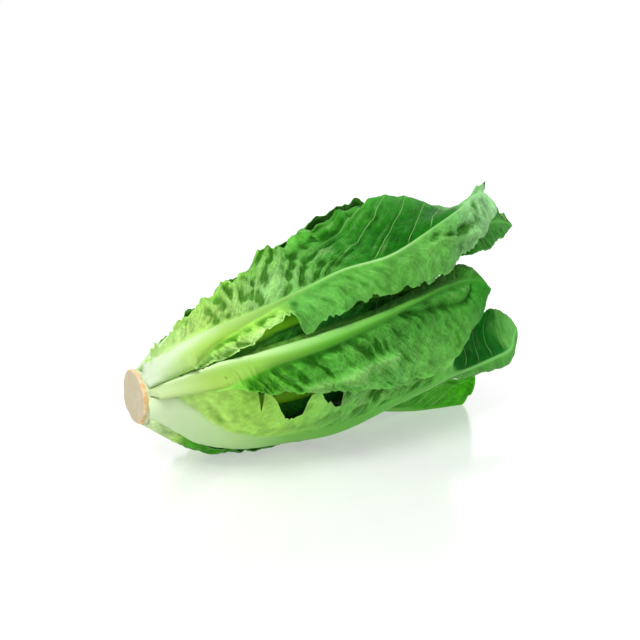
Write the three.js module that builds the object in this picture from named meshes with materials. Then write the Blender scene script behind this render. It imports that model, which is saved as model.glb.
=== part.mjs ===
// Romaine lettuce head, cut at the butt and lying on its side. Millimetres, +Z up.
//
// The head line runs along +X from the centre of the cut butt to the leaf tips. Points of a
// leaf are given round that line: distance x along the head, angle in degrees (90 is up, 180
// the front at -Y, 270 down, 0 the back) and radius. Every leaf is a thin closed solid with a
// thick midrib. Leaves are laid from the heart outwards, and each is pushed clear of what it
// wraps, so no two of them cross.
import * as THREE from "three";

// ---- Driving dimensions ---------------------------------------------------------------
const BUTT_RADIUS = 17;
const STEM_RADIUS = 12; // just behind the rim of the butt, where the outer leaves sit
const HEAD_LINE = [[-20, 44.5], [0, 44.5], [60, 52], [120, 62], [200, 74], [320, 86]]; // x, height
const BLADE = 0.9; // thickness of a leaf blade
const GAP = 0.7; // least space between one leaf and the next
const FLAT = 0.9; // how far the lowest ribs are pressed flat under the weight of the head
const TUCK = 3; // how deep the under leaf's near edge slips behind the lower front leaf's tip
const UNDER_ROOM = 2.2; // room for the leaf that lies between the head and the surface
const RIB_OUT = 0.7; // share of a rib's depth that stands out on the leaf's outer face
const RIB_FADES = [0.12, 0.85]; // parts of a leaf's length between which its midrib thins away
const RIB_TIP = 0.6; // half width of a midrib where it runs out
const TOOTH = 2.2; // depth of the teeth along a leaf's edge
const NARROWEST = 2; // half width that a blade's shares are measured by at its very tip
const STEM_LENGTH = 62;

const PALE = 0xc6dd9a;
const LIME = 0x8dbf4a;
const LEAF_GREEN = 0x5da02f;
const DEEP_GREEN = 0x3d7d24;
const CUT_FACE = 0xd2bd92;

// The leaves that shape the head's outside, one row a section from foot to tip:
//   x, then angle and radius of five points across the leaf in order of rising angle, which are
//   one edge, the middle of that half, the midrib, the middle of the other half, the other edge.
const LOWER_FRONT = [
  [5, 169, 14, 181, 14, 194, 14, 208, 14, 222, 14],
  [18, 167, 42, 180, 36, 200, 28, 216, 27, 234, 26],
  [36, 169, 60, 188, 54, 217, 41, 231, 41, 248, 39],
  [60, 169, 65, 195, 63, 226, 51, 241, 50, 257, 47],
  [90, 182, 70, 202, 67, 227, 58, 242, 57, 259, 53],
  [120, 184, 68, 202, 69, 221, 66, 236, 62, 251, 55],
  [155, 184, 65, 200, 67, 214, 67, 228, 62, 243, 55],
  [185, 197, 60, 206, 62, 214, 65, 226, 58, 240, 50],
  [207, 205, 57, 210, 58, 216, 61, 226, 57, 237, 50],
  [225, 244, 22, 227, 36, 218, 59, 226, 60, 236, 53],
  [250, 255, 25, 238, 34, 222, 55, 228, 61, 236, 57],
  [269, 257, 17, 244, 28, 229, 50, 233, 58, 239, 53],
  [279, 248, 17, 243, 26, 235, 41, 236, 49, 239, 50],
  [286, 245, 24, 243, 28, 240, 35, 239, 40, 239, 44],
];
const FRONT = [
  [5, 149, 14, 154, 14, 159, 14, 163, 14, 168, 14],
  [18, 149, 23, 154, 24, 159, 24.5, 163, 24, 167, 24],
  [36, 150, 34, 154, 36, 158, 37, 163, 38, 168, 38],
  [60, 150, 45, 154, 50, 159, 53, 168, 58, 176, 60],
  [95, 150, 50, 154, 57, 160, 63, 172, 67, 185, 68],
  [130, 150, 50, 154, 58, 159, 65, 175, 69, 192, 70],
  [165, 148, 48, 152, 56, 156, 63, 178, 68, 199, 69],
  [200, 141, 45, 146, 50, 152, 57, 174, 63, 196, 61],
  [225, 131, 43, 141, 47, 151, 49, 168, 53, 187, 51],
  [236, 139, 45, 147, 46, 155, 47, 168, 49, 184, 47],
  [243, 156, 43.5, 159, 43.5, 162, 44, 166, 44, 171, 44],
];
const TOP_FRONT = [
  [5, 106, 16, 118, 14.5, 130, 14, 139, 14, 148, 14],
  [18, 103, 36, 114, 31, 125, 28, 136, 28, 147, 27],
  [36, 98, 47, 112, 43, 125, 41, 137, 42, 149, 38],
  [58, 95, 58, 112, 54, 128, 52, 138, 55, 147, 55],
  [78, 93, 63, 111, 59, 129, 59, 136, 65, 142, 66],
  [92, 90, 71, 109, 64, 129, 64, 141, 69, 153, 66],
  [125, 84, 73, 106, 67, 127, 71, 138, 75, 148, 72],
  [160, 83, 78, 105, 69, 128, 73, 138, 75, 148, 71],
  [195, 82, 79, 102, 70, 121, 74, 134, 72, 147, 65],
  [226, 83, 68, 98, 66, 112, 75, 122, 70, 133, 60],
  [244, 88, 60, 97, 66, 105, 76.5, 114, 71, 124, 61],
  [252, 101, 83, 102, 80.5, 104, 78.5, 110, 72, 117, 63.5],
  [258, 104, 75, 105, 74, 107, 73, 110, 70, 114, 66],
  [261, 107, 70.5, 108, 70.2, 109, 70, 110, 69.5, 111, 69],
];
const UNDER = [
  [5, 224, 14, 246, 14, 262, 14, 276, 14, 290, 14],
  [18, 245, 27, 256, 26.5, 268, 26, 281, 26.5, 294, 28],
  [36, 247, 41.5, 257, 40.5, 270, 39, 282, 40, 296, 42],
  [60, 250, 50.5, 259, 50, 271, 49.5, 285, 50, 300, 53],
  [95, 252, 59, 262, 57, 271, 56, 288, 57, 306, 61],
  [130, 250, 61, 260, 59, 270, 58, 287, 60, 304, 63],
  [154, 249, 56, 257, 59, 268, 60, 284.5, 61.5, 300, 64.5],
  [166, 243, 45, 251, 52, 267, 62, 283, 63, 298, 66],
  [178, 236, 41.5, 247, 48.5, 266, 64, 281, 65.5, 295, 68],
  [200, 231, 40.5, 244, 47, 264, 71, 278, 70, 291, 71],
  [226, 230, 42, 244, 51, 262.5, 77.5, 274, 76, 285, 75],
  [237.5, 232, 44, 245, 57, 262, 80, 270, 79, 278, 77],
  [243, 243, 60, 252, 69, 260, 76, 266, 77, 271, 77],
  [246.5, 250, 60, 254, 64, 258, 68, 261, 70, 264, 71],
];
const TOP_BACK = [
  [6, 20, 14, 40, 14, 60, 13.5, 80, 13.5, 98, 13.5],
  [18, 20, 23, 38, 21, 56, 19.5, 75, 19, 92, 19],
  [36, 20, 38, 35, 33, 51, 30, 68, 30, 84, 30],
  [62, 18, 51, 33, 47, 47, 42, 62, 42, 78, 43],
  [100, 11, 62, 27, 60, 43, 57, 59, 59, 75, 61],
  [140, 9, 68, 25, 67, 41, 66, 55, 68, 68, 73],
  [172, 11, 68, 25, 69, 40, 70, 52, 75, 62, 83],
  [205, 18, 64, 30, 66, 42, 68, 53, 72, 62, 76],
  [240, 30, 56, 38, 58, 46, 59, 54, 60, 61, 63],
  [262, 47, 53, 49, 53, 50, 53, 51, 53, 53, 53],
];
const INNER_TOP = [
  [16, 32, 11.5, 48, 11.5, 66, 11.5, 84, 11.5, 100, 11.5],
  [60, 24, 30, 44, 31, 64, 31, 84, 31, 104, 30],
  [110, 22, 43, 42, 45, 62, 46, 83, 45, 104, 44],
  [165, 24, 46, 42, 50, 60, 51, 80, 51, 100, 52],
  [215, 30, 42, 44, 47, 58, 51, 76, 52, 92, 52],
  [255, 42, 28, 48, 38, 56, 47, 70, 50, 82, 52],
  [284, 48, 26, 52, 36, 56, 45, 63, 52, 69, 57],
  [300, 52, 30, 54, 37, 56, 44, 58, 51, 60, 57],
  [310, 54, 34, 55, 37, 55, 39, 56, 41, 57, 43],
];

// ---- Small helpers ----------------------------------------------------------------------
const DEG = Math.PI / 180;
const lerp = (a, b, t) => a + (b - a) * t;
const clamp = (v, lo, hi) => Math.min(hi, Math.max(lo, v));
const ramp = (lo, hi, v) => {
  const t = clamp((v - lo) / (hi - lo), 0, 1);
  return t * t * (3 - 2 * t);
};

// Catmull-Rom through rows of numbers, at t from 0 to rows.length - 1.
function throughRows(rows, t) {
  const last = rows.length - 1;
  const i = clamp(Math.floor(t), 0, last - 1);
  const s = t - i;
  const [b, c] = [rows[i], rows[i + 1]];
  const a = rows[Math.max(i - 1, 0)];
  const d = rows[Math.min(i + 2, last)];
  return b.map((_, k) => 0.5 * (2 * b[k] + (c[k] - a[k]) * s
    + (2 * a[k] - 5 * b[k] + 4 * c[k] - d[k]) * s * s
    + (3 * b[k] - a[k] - 3 * c[k] + d[k]) * s * s * s));
}

// ---- Round the head line ----------------------------------------------------------------
function headHeight(x) {
  const k = clamp(HEAD_LINE.findIndex((p) => p[0] > x), 1, HEAD_LINE.length - 1);
  const [x0, z0] = HEAD_LINE[k - 1];
  const [x1, z1] = HEAD_LINE[k];
  return lerp(z0, z1, clamp((x - x0) / (x1 - x0), 0, 1));
}

function roundHead(x, angle, r) {
  return new THREE.Vector3(x, r * Math.cos(angle * DEG), headHeight(x) + r * Math.sin(angle * DEG));
}

function polarOf(p) {
  const dz = p.z - headHeight(p.x);
  return { x: p.x, angle: Math.atan2(dz, p.y) / DEG, r: Math.hypot(p.y, dz) };
}

// ---- How far out the pieces laid so far reach -------------------------------------------
const CELL_X = 2;
const CELL_ANGLE = 2;
const FIRST_X = -6;
const CELL_ROWS = 168;
const CELL_COLUMNS = 360 / CELL_ANGLE;
const SAMPLES = 7; // points along a triangle's side where it is compared with the others
const reach = Array.from({ length: CELL_ROWS }, () => new Float64Array(CELL_COLUMNS));

function cellOf({ x, angle }) {
  const row = clamp(Math.round((x - FIRST_X) / CELL_X), 0, CELL_ROWS - 1);
  const column = ((Math.round(angle / CELL_ANGLE) % CELL_COLUMNS) + CELL_COLUMNS) % CELL_COLUMNS;
  return [row, column];
}

function overTriangle(corners, visit) {
  const p = new THREE.Vector3();
  for (let i = 0; i <= SAMPLES; i++) {
    for (let j = 0; j <= SAMPLES - i; j++) {
      const k = SAMPLES - i - j;
      p.set(0, 0, 0).addScaledVector(corners[0], i / SAMPLES);
      p.addScaledVector(corners[1], j / SAMPLES).addScaledVector(corners[2], k / SAMPLES);
      visit(polarOf(p));
    }
  }
}

function markReach(corners) {
  overTriangle(corners, (at) => {
    const [row, column] = cellOf(at);
    reach[row][column] = Math.max(reach[row][column], at.r);
  });
}

// How far a triangle has to go out to clear the pieces laid so far. What lies deeper than tuck
// under them has slipped in beneath an edge and stays there.
function shortfall(corners, tuck) {
  let most = 0;
  overTriangle(corners, (at) => {
    const [row, column] = cellOf(at);
    const need = reach[row][column];
    if (need > 0 && need - at.r < tuck) most = Math.max(most, need + GAP - at.r);
  });
  return most;
}

// ---- One leaf ---------------------------------------------------------------------------
// Parts of the way from the middle of the rib to the edge where a blade has its columns.
const COLUMNS_AT = {
  5: (rib) => [0, 0.6 * rib, rib, lerp(rib, 1, 0.36), lerp(rib, 1, 0.7), 1],
  4: (rib) => [0, rib, lerp(rib, 1, 0.4), lerp(rib, 1, 0.74), 1],
  3: (rib) => [0, rib, lerp(rib, 1, 0.55), 1],
  2: () => [0, 0.5, 1],
};

function sectionPoint(section, v) {
  const pairs = [0, 1, 2, 3, 4].map((k) => [section[1 + 2 * k], section[2 + 2 * k]]);
  return throughRows(pairs, 2 + 2 * v);
}

// Rows of { x, angle, r, bump } from foot to tip, evenly spaced along the midrib.
function leafRows(leaf) {
  const last = leaf.sections.length - 1;
  const steps = 200;
  const at = Array.from({ length: steps + 1 }, (_, k) => throughRows(leaf.sections, (k / steps) * last));
  const ribs = at.map((s) => roundHead(s[0], s[5], s[6]));
  const travelled = [0];
  for (let k = 1; k <= steps; k++) travelled.push(travelled[k - 1] + ribs[k].distanceTo(ribs[k - 1]));
  const rows = [];
  for (let i = 0; i <= leaf.rows; i++) {
    const u = i / leaf.rows;
    const k = Math.max(1, travelled.findIndex((d) => d >= u * travelled[steps] - 1e-9));
    const part = (u * travelled[steps] - travelled[k - 1]) / (travelled[k] - travelled[k - 1]);
    const section = throughRows(leaf.sections, ((k - 1 + part) / steps) * last);
    rows.push([-1, 1].flatMap((side) => sideOfRow(leaf, section, u, i, side)));
  }
  return rows;
}

function sideOfRow(leaf, section, u, i, side) {
  const x = section[0];
  const [ribAngle, ribRadius] = sectionPoint(section, 0);
  const [midAngle, midRadius] = sectionPoint(section, side / 2);
  const [edgeAngle, edgeRadius] = sectionPoint(section, side);
  const rib = roundHead(x, ribAngle, ribRadius);
  const mid = roundHead(x, midAngle, midRadius);
  const edge = roundHead(x, edgeAngle, edgeRadius);
  const width = Math.max(NARROWEST, rib.distanceTo(mid) + mid.distanceTo(edge));
  const ribLeft = 1 - ramp(...RIB_FADES, u);
  const ribShare = clamp((RIB_TIP + (leaf.ribWidth / 2) * ribLeft) / width, 0.1, 0.8);
  const ribDepth = leaf.ribDepth * ribLeft * lerp(0.5, 1, ramp(0, RIB_FADES[0], u));
  const notch = (leaf.notches ?? []).filter((n) => n.side === side)
    .reduce((cut, n) => Math.max(cut, n.depth * (1 - Math.abs(x - n.x) / n.width)), 0);
  const tooth = i % 2 === 0 || u > 0.97 ? 0 : clamp(TOOTH / width, 0, 0.3);
  const end = 1 - Math.max(notch, tooth);
  const turns = 2 * Math.PI * (leaf.waves * u + (side > 0 ? 0.3 : 0));
  const wave = Math.sin(turns) + 0.5 * Math.sin(2.3 * turns + 1);
  const frill = leaf.frill * ramp(0.06, 0.4, u) * (1 - ramp(0.85, 1, u)) * wave;
  const points = COLUMNS_AT[leaf.columns](ribShare).map((share) => {
    const pastRib = Math.max(0, (share - ribShare) / (1 - ribShare));
    const v = pastRib > 0 ? lerp(ribShare, Math.max(end, ribShare), pastRib) : share;
    const [angle, r] = sectionPoint(section, side * v);
    const swell = Math.max(0, 1 - (share / ribShare) ** 2);
    return { x, angle, r: r + frill * share ** 2.2, bump: ribDepth * swell };
  });
  return side < 0 ? points.reverse() : points.slice(1);
}

function facesOf(rows) {
  const n = rows.length;
  const m = rows[0].length;
  const middle = rows.map((row) => row.map((p) => roundHead(p.x, p.angle, p.r)));
  const face = (share, way) => middle.map((row, i) => row.map((p, j) => {
    const along = middle[Math.min(i + 1, n - 1)][j].clone().sub(middle[Math.max(i - 1, 0)][j]);
    const across = row[Math.min(j + 1, m - 1)].clone().sub(row[Math.max(j - 1, 0)]);
    const outward = across.cross(along).normalize();
    return p.clone().addScaledVector(outward, way * (BLADE / 2 + share * rows[i][j].bump));
  }));
  return { outer: face(RIB_OUT, 1), inner: face(1 - RIB_OUT, -1) };
}

function trianglesOf(grid) {
  const list = [];
  for (let i = 0; i < grid.length - 1; i++) {
    for (let j = 0; j < grid[0].length - 1; j++) {
      list.push([[i, j], [i + 1, j], [i + 1, j + 1]], [[i, j], [i + 1, j + 1], [i, j + 1]]);
    }
  }
  return list;
}

const cornersOf = (grid, triangle) => triangle.map(([i, j]) => grid[i][j]);

// Pushes a leaf out until it clears every piece laid before it.
function pushClear(rows, tuck) {
  const passes = 16;
  const settling = 4; // last passes, which move only what still touches
  for (let pass = 0; pass < passes; pass++) {
    const { inner, outer } = facesOf(rows);
    const lift = rows.map((row) => row.map(() => 0));
    for (const triangle of trianglesOf(inner)) {
      const faces = [inner, outer].map((face) => shortfall(cornersOf(face, triangle), tuck));
      const more = Math.max(...faces);
      for (const [i, j] of triangle) lift[i][j] = Math.max(lift[i][j], more);
    }
    const spread = pass < passes - settling;
    rows.forEach((row, i) => row.forEach((p, j) => {
      const beside = [lift[i - 1]?.[j], lift[i + 1]?.[j], lift[i][j - 1], lift[i][j + 1]];
      const near = Math.max(...beside.map((v) => v ?? 0));
      p.r += spread ? Math.max(lift[i][j], 0.5 * near) : lift[i][j];
    }));
  }
}

function leafMesh(leaf) {
  const rows = leafRows(leaf);
  pushClear(rows, leaf.tuck ?? Infinity);
  const { outer, inner } = facesOf(rows);
  const floor = leaf.onFloor ? 0 : UNDER_ROOM;
  outer.flat().forEach((p) => { p.z = p.z < floor + FLAT ? floor : p.z; });
  inner.flat().forEach((p) => { p.z = Math.max(p.z, floor + BLADE); });
  const n = outer.length;
  const m = outer[0].length;
  const out = ([i, j]) => i * m + j;
  const into = ([i, j]) => n * m + i * m + j;
  const index = [];
  for (const triangle of trianglesOf(outer)) {
    const [a, b, c] = triangle;
    index.push(out(a), out(c), out(b));
    index.push(into(a), into(b), into(c));
    markReach(cornersOf(outer, triangle));
    markReach(cornersOf(inner, triangle));
  }
  const wall = (a, b) => index.push(out(a), out(b), into(b), out(a), into(b), into(a));
  for (let i = 0; i < n - 1; i++) {
    wall([i, 0], [i + 1, 0]);
    wall([i + 1, m - 1], [i, m - 1]);
  }
  for (let j = 0; j < m - 1; j++) {
    wall([0, j + 1], [0, j]);
    wall([n - 1, j], [n - 1, j + 1]);
  }
  const geometry = new THREE.BufferGeometry();
  const places = [...outer.flat(), ...inner.flat()].flatMap((p) => p.toArray());
  geometry.setAttribute("position", new THREE.Float32BufferAttribute(places, 3));
  geometry.setIndex(index);
  geometry.computeVertexNormals();
  const material = new THREE.MeshStandardMaterial({ color: leaf.color, roughness: 0.5, metalness: 0 });
  const mesh = new THREE.Mesh(geometry, material);
  mesh.name = leaf.name;
  return mesh;
}

// Sections of a leaf of the common form: it leaves the stem at foot, swells to girth, and
// closes over the heart at its tip.
function commonSections({ foot, stem, angle, lean, length, girth, tuck, spread, footSpread, cup }) {
  const stations = [0, 0.08, 0.2, 0.36, 0.52, 0.68, 0.83, 0.94, 1];
  return stations.map((u) => {
    const x = foot + length * u;
    const rib = angle + lean * u;
    const swell = Math.sin((Math.PI / 2) * clamp(u / 0.5, 0, 1));
    const r = lerp(stem, girth, swell) * (1 - tuck * ramp(0.55, 1, u));
    const closing = Math.max(0, (u - 0.45) / 0.55) ** 4;
    const half = lerp(footSpread, spread, ramp(0, 0.35, u)) * Math.sqrt(Math.max(0.01, 1 - closing));
    const edge = r - cup * ramp(0.1, 0.6, u);
    const mid = lerp(r, edge, 0.3);
    return [x, rib - half, edge, rib - half / 2, mid, rib, r, rib + half / 2, mid, rib + half, edge];
  });
}

// ---- Stem -------------------------------------------------------------------------------
function stemMesh() {
  const rim = 1.2;
  const profile = [
    [0, 0], [BUTT_RADIUS - rim, 0], [BUTT_RADIUS, rim], [BUTT_RADIUS - 0.3, 3.4], [STEM_RADIUS, 4.2],
    [10, 12], [8, 22], [5, 42], [3, STEM_LENGTH - 2], [0, STEM_LENGTH],
  ].map(([r, along]) => new THREE.Vector2(r, along));
  const geometry = new THREE.LatheGeometry(profile, 36);
  geometry.rotateZ(-Math.PI / 2);
  geometry.translate(0, 0, HEAD_LINE[1][1]);
  const material = new THREE.MeshStandardMaterial({ color: CUT_FACE, roughness: 0.8, metalness: 0 });
  const mesh = new THREE.Mesh(geometry, material);
  mesh.name = "stem";
  return mesh;
}

function markStem(mesh) {
  const place = mesh.geometry.attributes.position;
  const index = mesh.geometry.index;
  const corner = (k) => new THREE.Vector3().fromBufferAttribute(place, index.getX(k));
  for (let k = 0; k < index.count; k += 3) markReach([corner(k), corner(k + 1), corner(k + 2)]);
}

// ---- The leaves, from the heart outwards ------------------------------------------------
function heartLeaves() {
  const count = 4;
  const turn = 137.5; // degrees from one leaf to the next round the stem
  return Array.from({ length: count }, (_, k) => ({
    name: `heart_leaf_${k + 1}`, color: LIME,
    rows: 14, columns: 2, ribWidth: 8, ribDepth: 3, frill: 0.6, waves: 3,
    sections: commonSections({
      foot: 40 - 7 * k, stem: 6 + 1.2 * k, angle: 250 + turn * k, lean: 8, length: 150 + 16 * k,
      girth: 14 + 6 * k, tuck: 0.6, spread: 75, footSpread: 50, cup: 2,
    }),
  }));
}

// Name, foot, stem radius, angle, lean, length, girth, tuck.
const INNER_RING = [
  ["inner_lower_leaf", 16, 11.5, 252, -6, 190, 40, 0.25],
  ["inner_back_leaf", 14, 11.9, 350, 8, 215, 44, 0.35],
  ["inner_upper_front_leaf", 12, 12.3, 132, 4, 205, 42, 0.3],
  ["inner_front_leaf", 10, 12.7, 202, -8, 226, 46, 0.42],
];

function innerLeaves() {
  return INNER_RING.map(([name, foot, stem, angle, lean, length, girth, tuck]) => ({
    name, color: LEAF_GREEN,
    rows: 22, columns: 3, ribWidth: 12, ribDepth: 4, frill: 1.2, waves: 5,
    sections: commonSections({
      foot, stem, angle, lean, length, girth, tuck, spread: 58, footSpread: 34, cup: 4,
    }),
  }));
}

const LOWER_BACK = commonSections({
  foot: 5, stem: 14, angle: 316, lean: 2, length: 256, girth: 63, tuck: 0.14,
  spread: 36, footSpread: 26, cup: 4,
});
const BACK = commonSections({
  foot: 5, stem: 14, angle: 3, lean: -2, length: 252, girth: 65, tuck: 0.12,
  spread: 36, footSpread: 22, cup: 3,
});

const LEAVES = [
  ...heartLeaves(),
  ...innerLeaves(),
  {
    name: "inner_top_leaf", color: DEEP_GREEN, sections: INNER_TOP,
    rows: 26, columns: 3, ribWidth: 11, ribDepth: 4, frill: 1.2, waves: 5,
  },
  {
    name: "lower_front_leaf", color: PALE, sections: LOWER_FRONT,
    rows: 38, columns: 5, ribWidth: 34, ribDepth: 7, frill: 1.8, waves: 9,
    notches: [
      { side: -1, x: 60, width: 7, depth: 0.4 },
      { side: -1, x: 80, width: 13, depth: 0.5 },
      { side: -1, x: 110, width: 10, depth: 0.7 },
    ],
  },
  {
    name: "front_leaf", color: LEAF_GREEN, sections: FRONT,
    rows: 34, columns: 5, ribWidth: 13, ribDepth: 8, frill: 1.8, waves: 8,
  },
  {
    name: "top_back_leaf", color: LEAF_GREEN, sections: TOP_BACK,
    rows: 32, columns: 4, ribWidth: 24, ribDepth: 5, frill: 1.8, waves: 7,
  },
  {
    name: "lower_back_leaf", color: LEAF_GREEN, sections: LOWER_BACK,
    rows: 32, columns: 4, ribWidth: 30, ribDepth: 7, frill: 1.8, waves: 7,
  },
  {
    name: "back_leaf", color: LEAF_GREEN, sections: BACK,
    rows: 32, columns: 4, ribWidth: 28, ribDepth: 7, frill: 1.8, waves: 8,
  },
  {
    name: "top_front_leaf", color: LEAF_GREEN, sections: TOP_FRONT,
    rows: 36, columns: 5, ribWidth: 22, ribDepth: 8, frill: 1.8, waves: 9,
    notches: [{ side: -1, x: 108, width: 9, depth: 0.28 }],
  },
  {
    name: "under_leaf", color: DEEP_GREEN, sections: UNDER, onFloor: true, tuck: TUCK,
    rows: 34, columns: 4, ribWidth: 28, ribDepth: 5, frill: 1.2, waves: 7,
  },
];

const head = new THREE.Group();
const stem = stemMesh();
markStem(stem);
head.add(stem);
for (const leaf of LEAVES) head.add(leafMesh(leaf));

// The origin is on the surface that the head lies on, under the middle of the head.
const middle = new THREE.Box3().setFromObject(head).getCenter(new THREE.Vector3());
head.position.set(-middle.x, -middle.y, 0);

export default head;
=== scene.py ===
"""A head of romaine lettuce lying on its side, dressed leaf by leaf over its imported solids.

Lengths are millimetres round the head line until a mesh is written, when they become metres in
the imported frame. A point of a leaf is given by x along the head, an angle in degrees (90 is up,
180 the front, 270 down, 0 the back) and a radius. Leaves are laid from the heart outwards.
"""
import logging
import math
from dataclasses import dataclass, field, replace
from enum import Enum

import bmesh
import bpy
import numpy as np
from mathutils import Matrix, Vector


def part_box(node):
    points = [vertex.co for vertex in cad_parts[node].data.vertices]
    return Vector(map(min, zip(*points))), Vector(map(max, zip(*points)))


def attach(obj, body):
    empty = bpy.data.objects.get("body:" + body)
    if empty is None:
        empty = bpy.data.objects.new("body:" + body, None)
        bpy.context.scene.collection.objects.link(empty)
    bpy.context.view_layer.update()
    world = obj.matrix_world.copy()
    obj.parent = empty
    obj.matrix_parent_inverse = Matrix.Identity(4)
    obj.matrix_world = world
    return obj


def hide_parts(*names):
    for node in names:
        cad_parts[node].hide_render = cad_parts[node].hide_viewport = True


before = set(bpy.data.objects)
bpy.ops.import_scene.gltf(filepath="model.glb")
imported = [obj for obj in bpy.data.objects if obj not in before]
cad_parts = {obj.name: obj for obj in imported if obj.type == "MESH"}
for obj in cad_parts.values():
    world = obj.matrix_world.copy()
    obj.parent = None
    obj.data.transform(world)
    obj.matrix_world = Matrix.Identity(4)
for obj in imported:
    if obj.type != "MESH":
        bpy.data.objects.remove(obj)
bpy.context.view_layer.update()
LOG = logging.getLogger("romaine")

MM = 0.001
HEAD_LINE = ((-20, 44.5), (0, 44.5), (60, 52), (120, 62), (200, 74), (320, 86))  # x, height
BLADE = 0.8  # thickness of a leaf blade
EDGE = 0.35  # thickness left at a blade's very edge
GAP = 1.0  # least space between one leaf and the next
UNDER_ROOM = 2.2  # room for the leaf that lies between the head and the surface
RIB_OUT = 0.7  # share of a rib's depth that stands out on the leaf's outer face
LONGEST = 320.0  # x that a tone's or a measure's place along a leaf is counted in
PAINTED = (  # the attributes that a leaf's finish reads
    "station", "share", "half", "along", "away", "drawn", "phase", "vein", "relief", "savoy", "ribbed"
)

# One row a section from foot to tip: x, then angle and radius of five points across the leaf in
# order of rising angle: edge, middle of that half, midrib, middle of the other half, edge.
LOWER_FRONT = (
    (5, 169, 14, 181, 14, 194, 14, 208, 14, 222, 14),
    (18, 167, 42, 180, 36, 200, 28, 216, 27, 234, 26),
    (36, 169, 60, 188, 54, 217, 41, 231, 41, 248, 39),
    (60, 169, 65, 195, 63, 226, 51, 241, 50, 257, 47),
    (90, 182, 70, 202, 67, 227, 58, 242, 57, 259, 53),
    (120, 184, 68, 202, 69, 221, 66, 236, 62, 251, 55),
    (155, 184, 65, 200, 67, 214, 67, 228, 62, 243, 55),
    (185, 197, 60, 206, 62, 214, 65, 226, 58, 240, 50),
    (207, 200, 57, 208, 58, 216, 61, 226, 57, 237, 50),
    (225, 244, 22, 227, 36, 218, 59, 226, 60, 236, 53),
    (250, 255, 25, 238, 34, 222, 55, 228, 61, 236, 57),
    (269, 257, 17, 244, 28, 229, 50, 233, 58, 239, 53),
    (279, 248, 17, 243, 26, 235, 41, 236, 49, 239, 50),
    (286, 245, 24, 243, 28, 240, 35, 239, 40, 239, 44),
)
FRONT = (
    (5, 149, 14, 154, 14, 159, 14, 163, 14, 168, 14),
    (18, 149, 23, 154, 24, 159, 24.5, 163, 24, 167, 24),
    (36, 150, 34, 154, 36, 158, 37, 163, 38, 168, 38),
    (60, 150, 45, 154, 50, 159, 53, 168, 58, 176, 60),
    (95, 150, 50, 154, 57, 160, 63, 172, 67, 185, 68),
    (130, 150, 50, 154, 58, 159, 65, 175, 69, 192, 70),
    (165, 148, 48, 152, 56, 156, 63, 178, 68, 199, 69),
    (200, 141, 45, 146, 50, 152, 57, 174, 63, 196, 61),
    (225, 131, 43, 141, 47, 151, 49, 168, 53, 187, 51),
    (236, 139, 45, 147, 46, 155, 47, 168, 49, 184, 47),
    (243, 156, 43.5, 159, 43.5, 162, 44, 166, 44, 171, 44),
)
TOP_FRONT = (
    (5, 106, 16, 118, 14.5, 130, 14, 139, 14, 148, 14),
    (18, 103, 36, 114, 31, 125, 28, 136, 28, 147, 27),
    (36, 98, 47, 112, 43, 125, 41, 137, 42, 149, 38),
    (58, 95, 58, 112, 54, 128, 52, 138, 55, 147, 55),
    (78, 93, 63, 111, 59, 129, 59, 136, 65, 142, 66),
    (92, 90, 71, 109, 64, 129, 64, 141, 69, 153, 66),
    (125, 84, 73, 106, 67, 127, 71, 138, 75, 148, 72),
    (160, 83, 78, 105, 69, 128, 73, 138, 75, 148, 71),
    (195, 82, 79, 102, 70, 121, 74, 134, 72, 147, 65),
    (226, 83, 68, 98, 66, 112, 75, 122, 70, 133, 60),
    (244, 88, 60, 97, 66, 105, 76.5, 114, 71, 124, 61),
    (252, 101, 79, 102, 76.5, 104, 74.5, 110, 69, 117, 62),
    (258, 104, 72, 105, 71.5, 107, 71, 110, 68.5, 114, 64),
    (261, 107, 66.5, 108, 66.2, 109, 66, 110, 65.6, 111, 65.2),
)
UNDER = (
    (4, 212, 13, 240, 14, 262, 14, 276, 14, 290, 14),
    (18, 226, 25, 250, 26.5, 268, 26, 281, 26.5, 294, 28),
    (36, 236, 40, 254, 40.5, 270, 39, 282, 40, 296, 42),
    (60, 246, 50.5, 258, 50, 271, 49.5, 285, 50, 300, 53),
    (95, 252, 59, 262, 57, 271, 56, 288, 57, 306, 61),
    (130, 250, 61, 260, 59, 270, 58, 287, 60, 304, 63),
    (154, 249, 56, 257, 59, 268, 60, 284.5, 61.5, 300, 64.5),
    (166, 243, 45, 251, 52, 267, 62, 283, 63, 298, 66),
    (178, 236, 41.5, 247, 48.5, 266, 64, 281, 65.5, 295, 68),
    (200, 231, 40.5, 244, 47, 264, 71, 278, 70, 291, 71),
    (226, 230, 42, 244, 51, 262.5, 77.5, 274, 76, 285, 75),
    (237.5, 232, 44, 245, 57, 262, 80, 270, 79, 278, 77),
    (243.5, 243, 55, 252, 65, 260, 77.5, 266, 78, 271, 77),
    (248, 250, 60, 254, 65, 258, 69.5, 261, 71, 264, 71),
)
TOP_BACK = (
    (12, 20, 16, 39, 15, 58, 14, 77, 13.5, 95, 13.5),
    (18, 20, 21, 38, 19, 56, 17, 75, 16, 92, 16),
    (36, 20, 38, 35, 33, 51, 30, 68, 30, 84, 30),
    (62, 18, 51, 33, 47, 47, 42, 62, 42, 78, 43),
    (100, 11, 62, 27, 60, 43, 57, 59, 59, 75, 61),
    (140, 9, 68, 25, 67, 41, 66, 55, 68, 68, 73),
    (172, 11, 68, 25, 69, 40, 70, 52, 75, 62, 83),
    (205, 18, 64, 30, 66, 42, 68, 53, 72, 62, 76),
    (240, 30, 56, 38, 58, 46, 59, 54, 60, 61, 63),
    (262, 47, 53, 49, 53, 50, 53, 51, 53, 53, 53),
)
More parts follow.
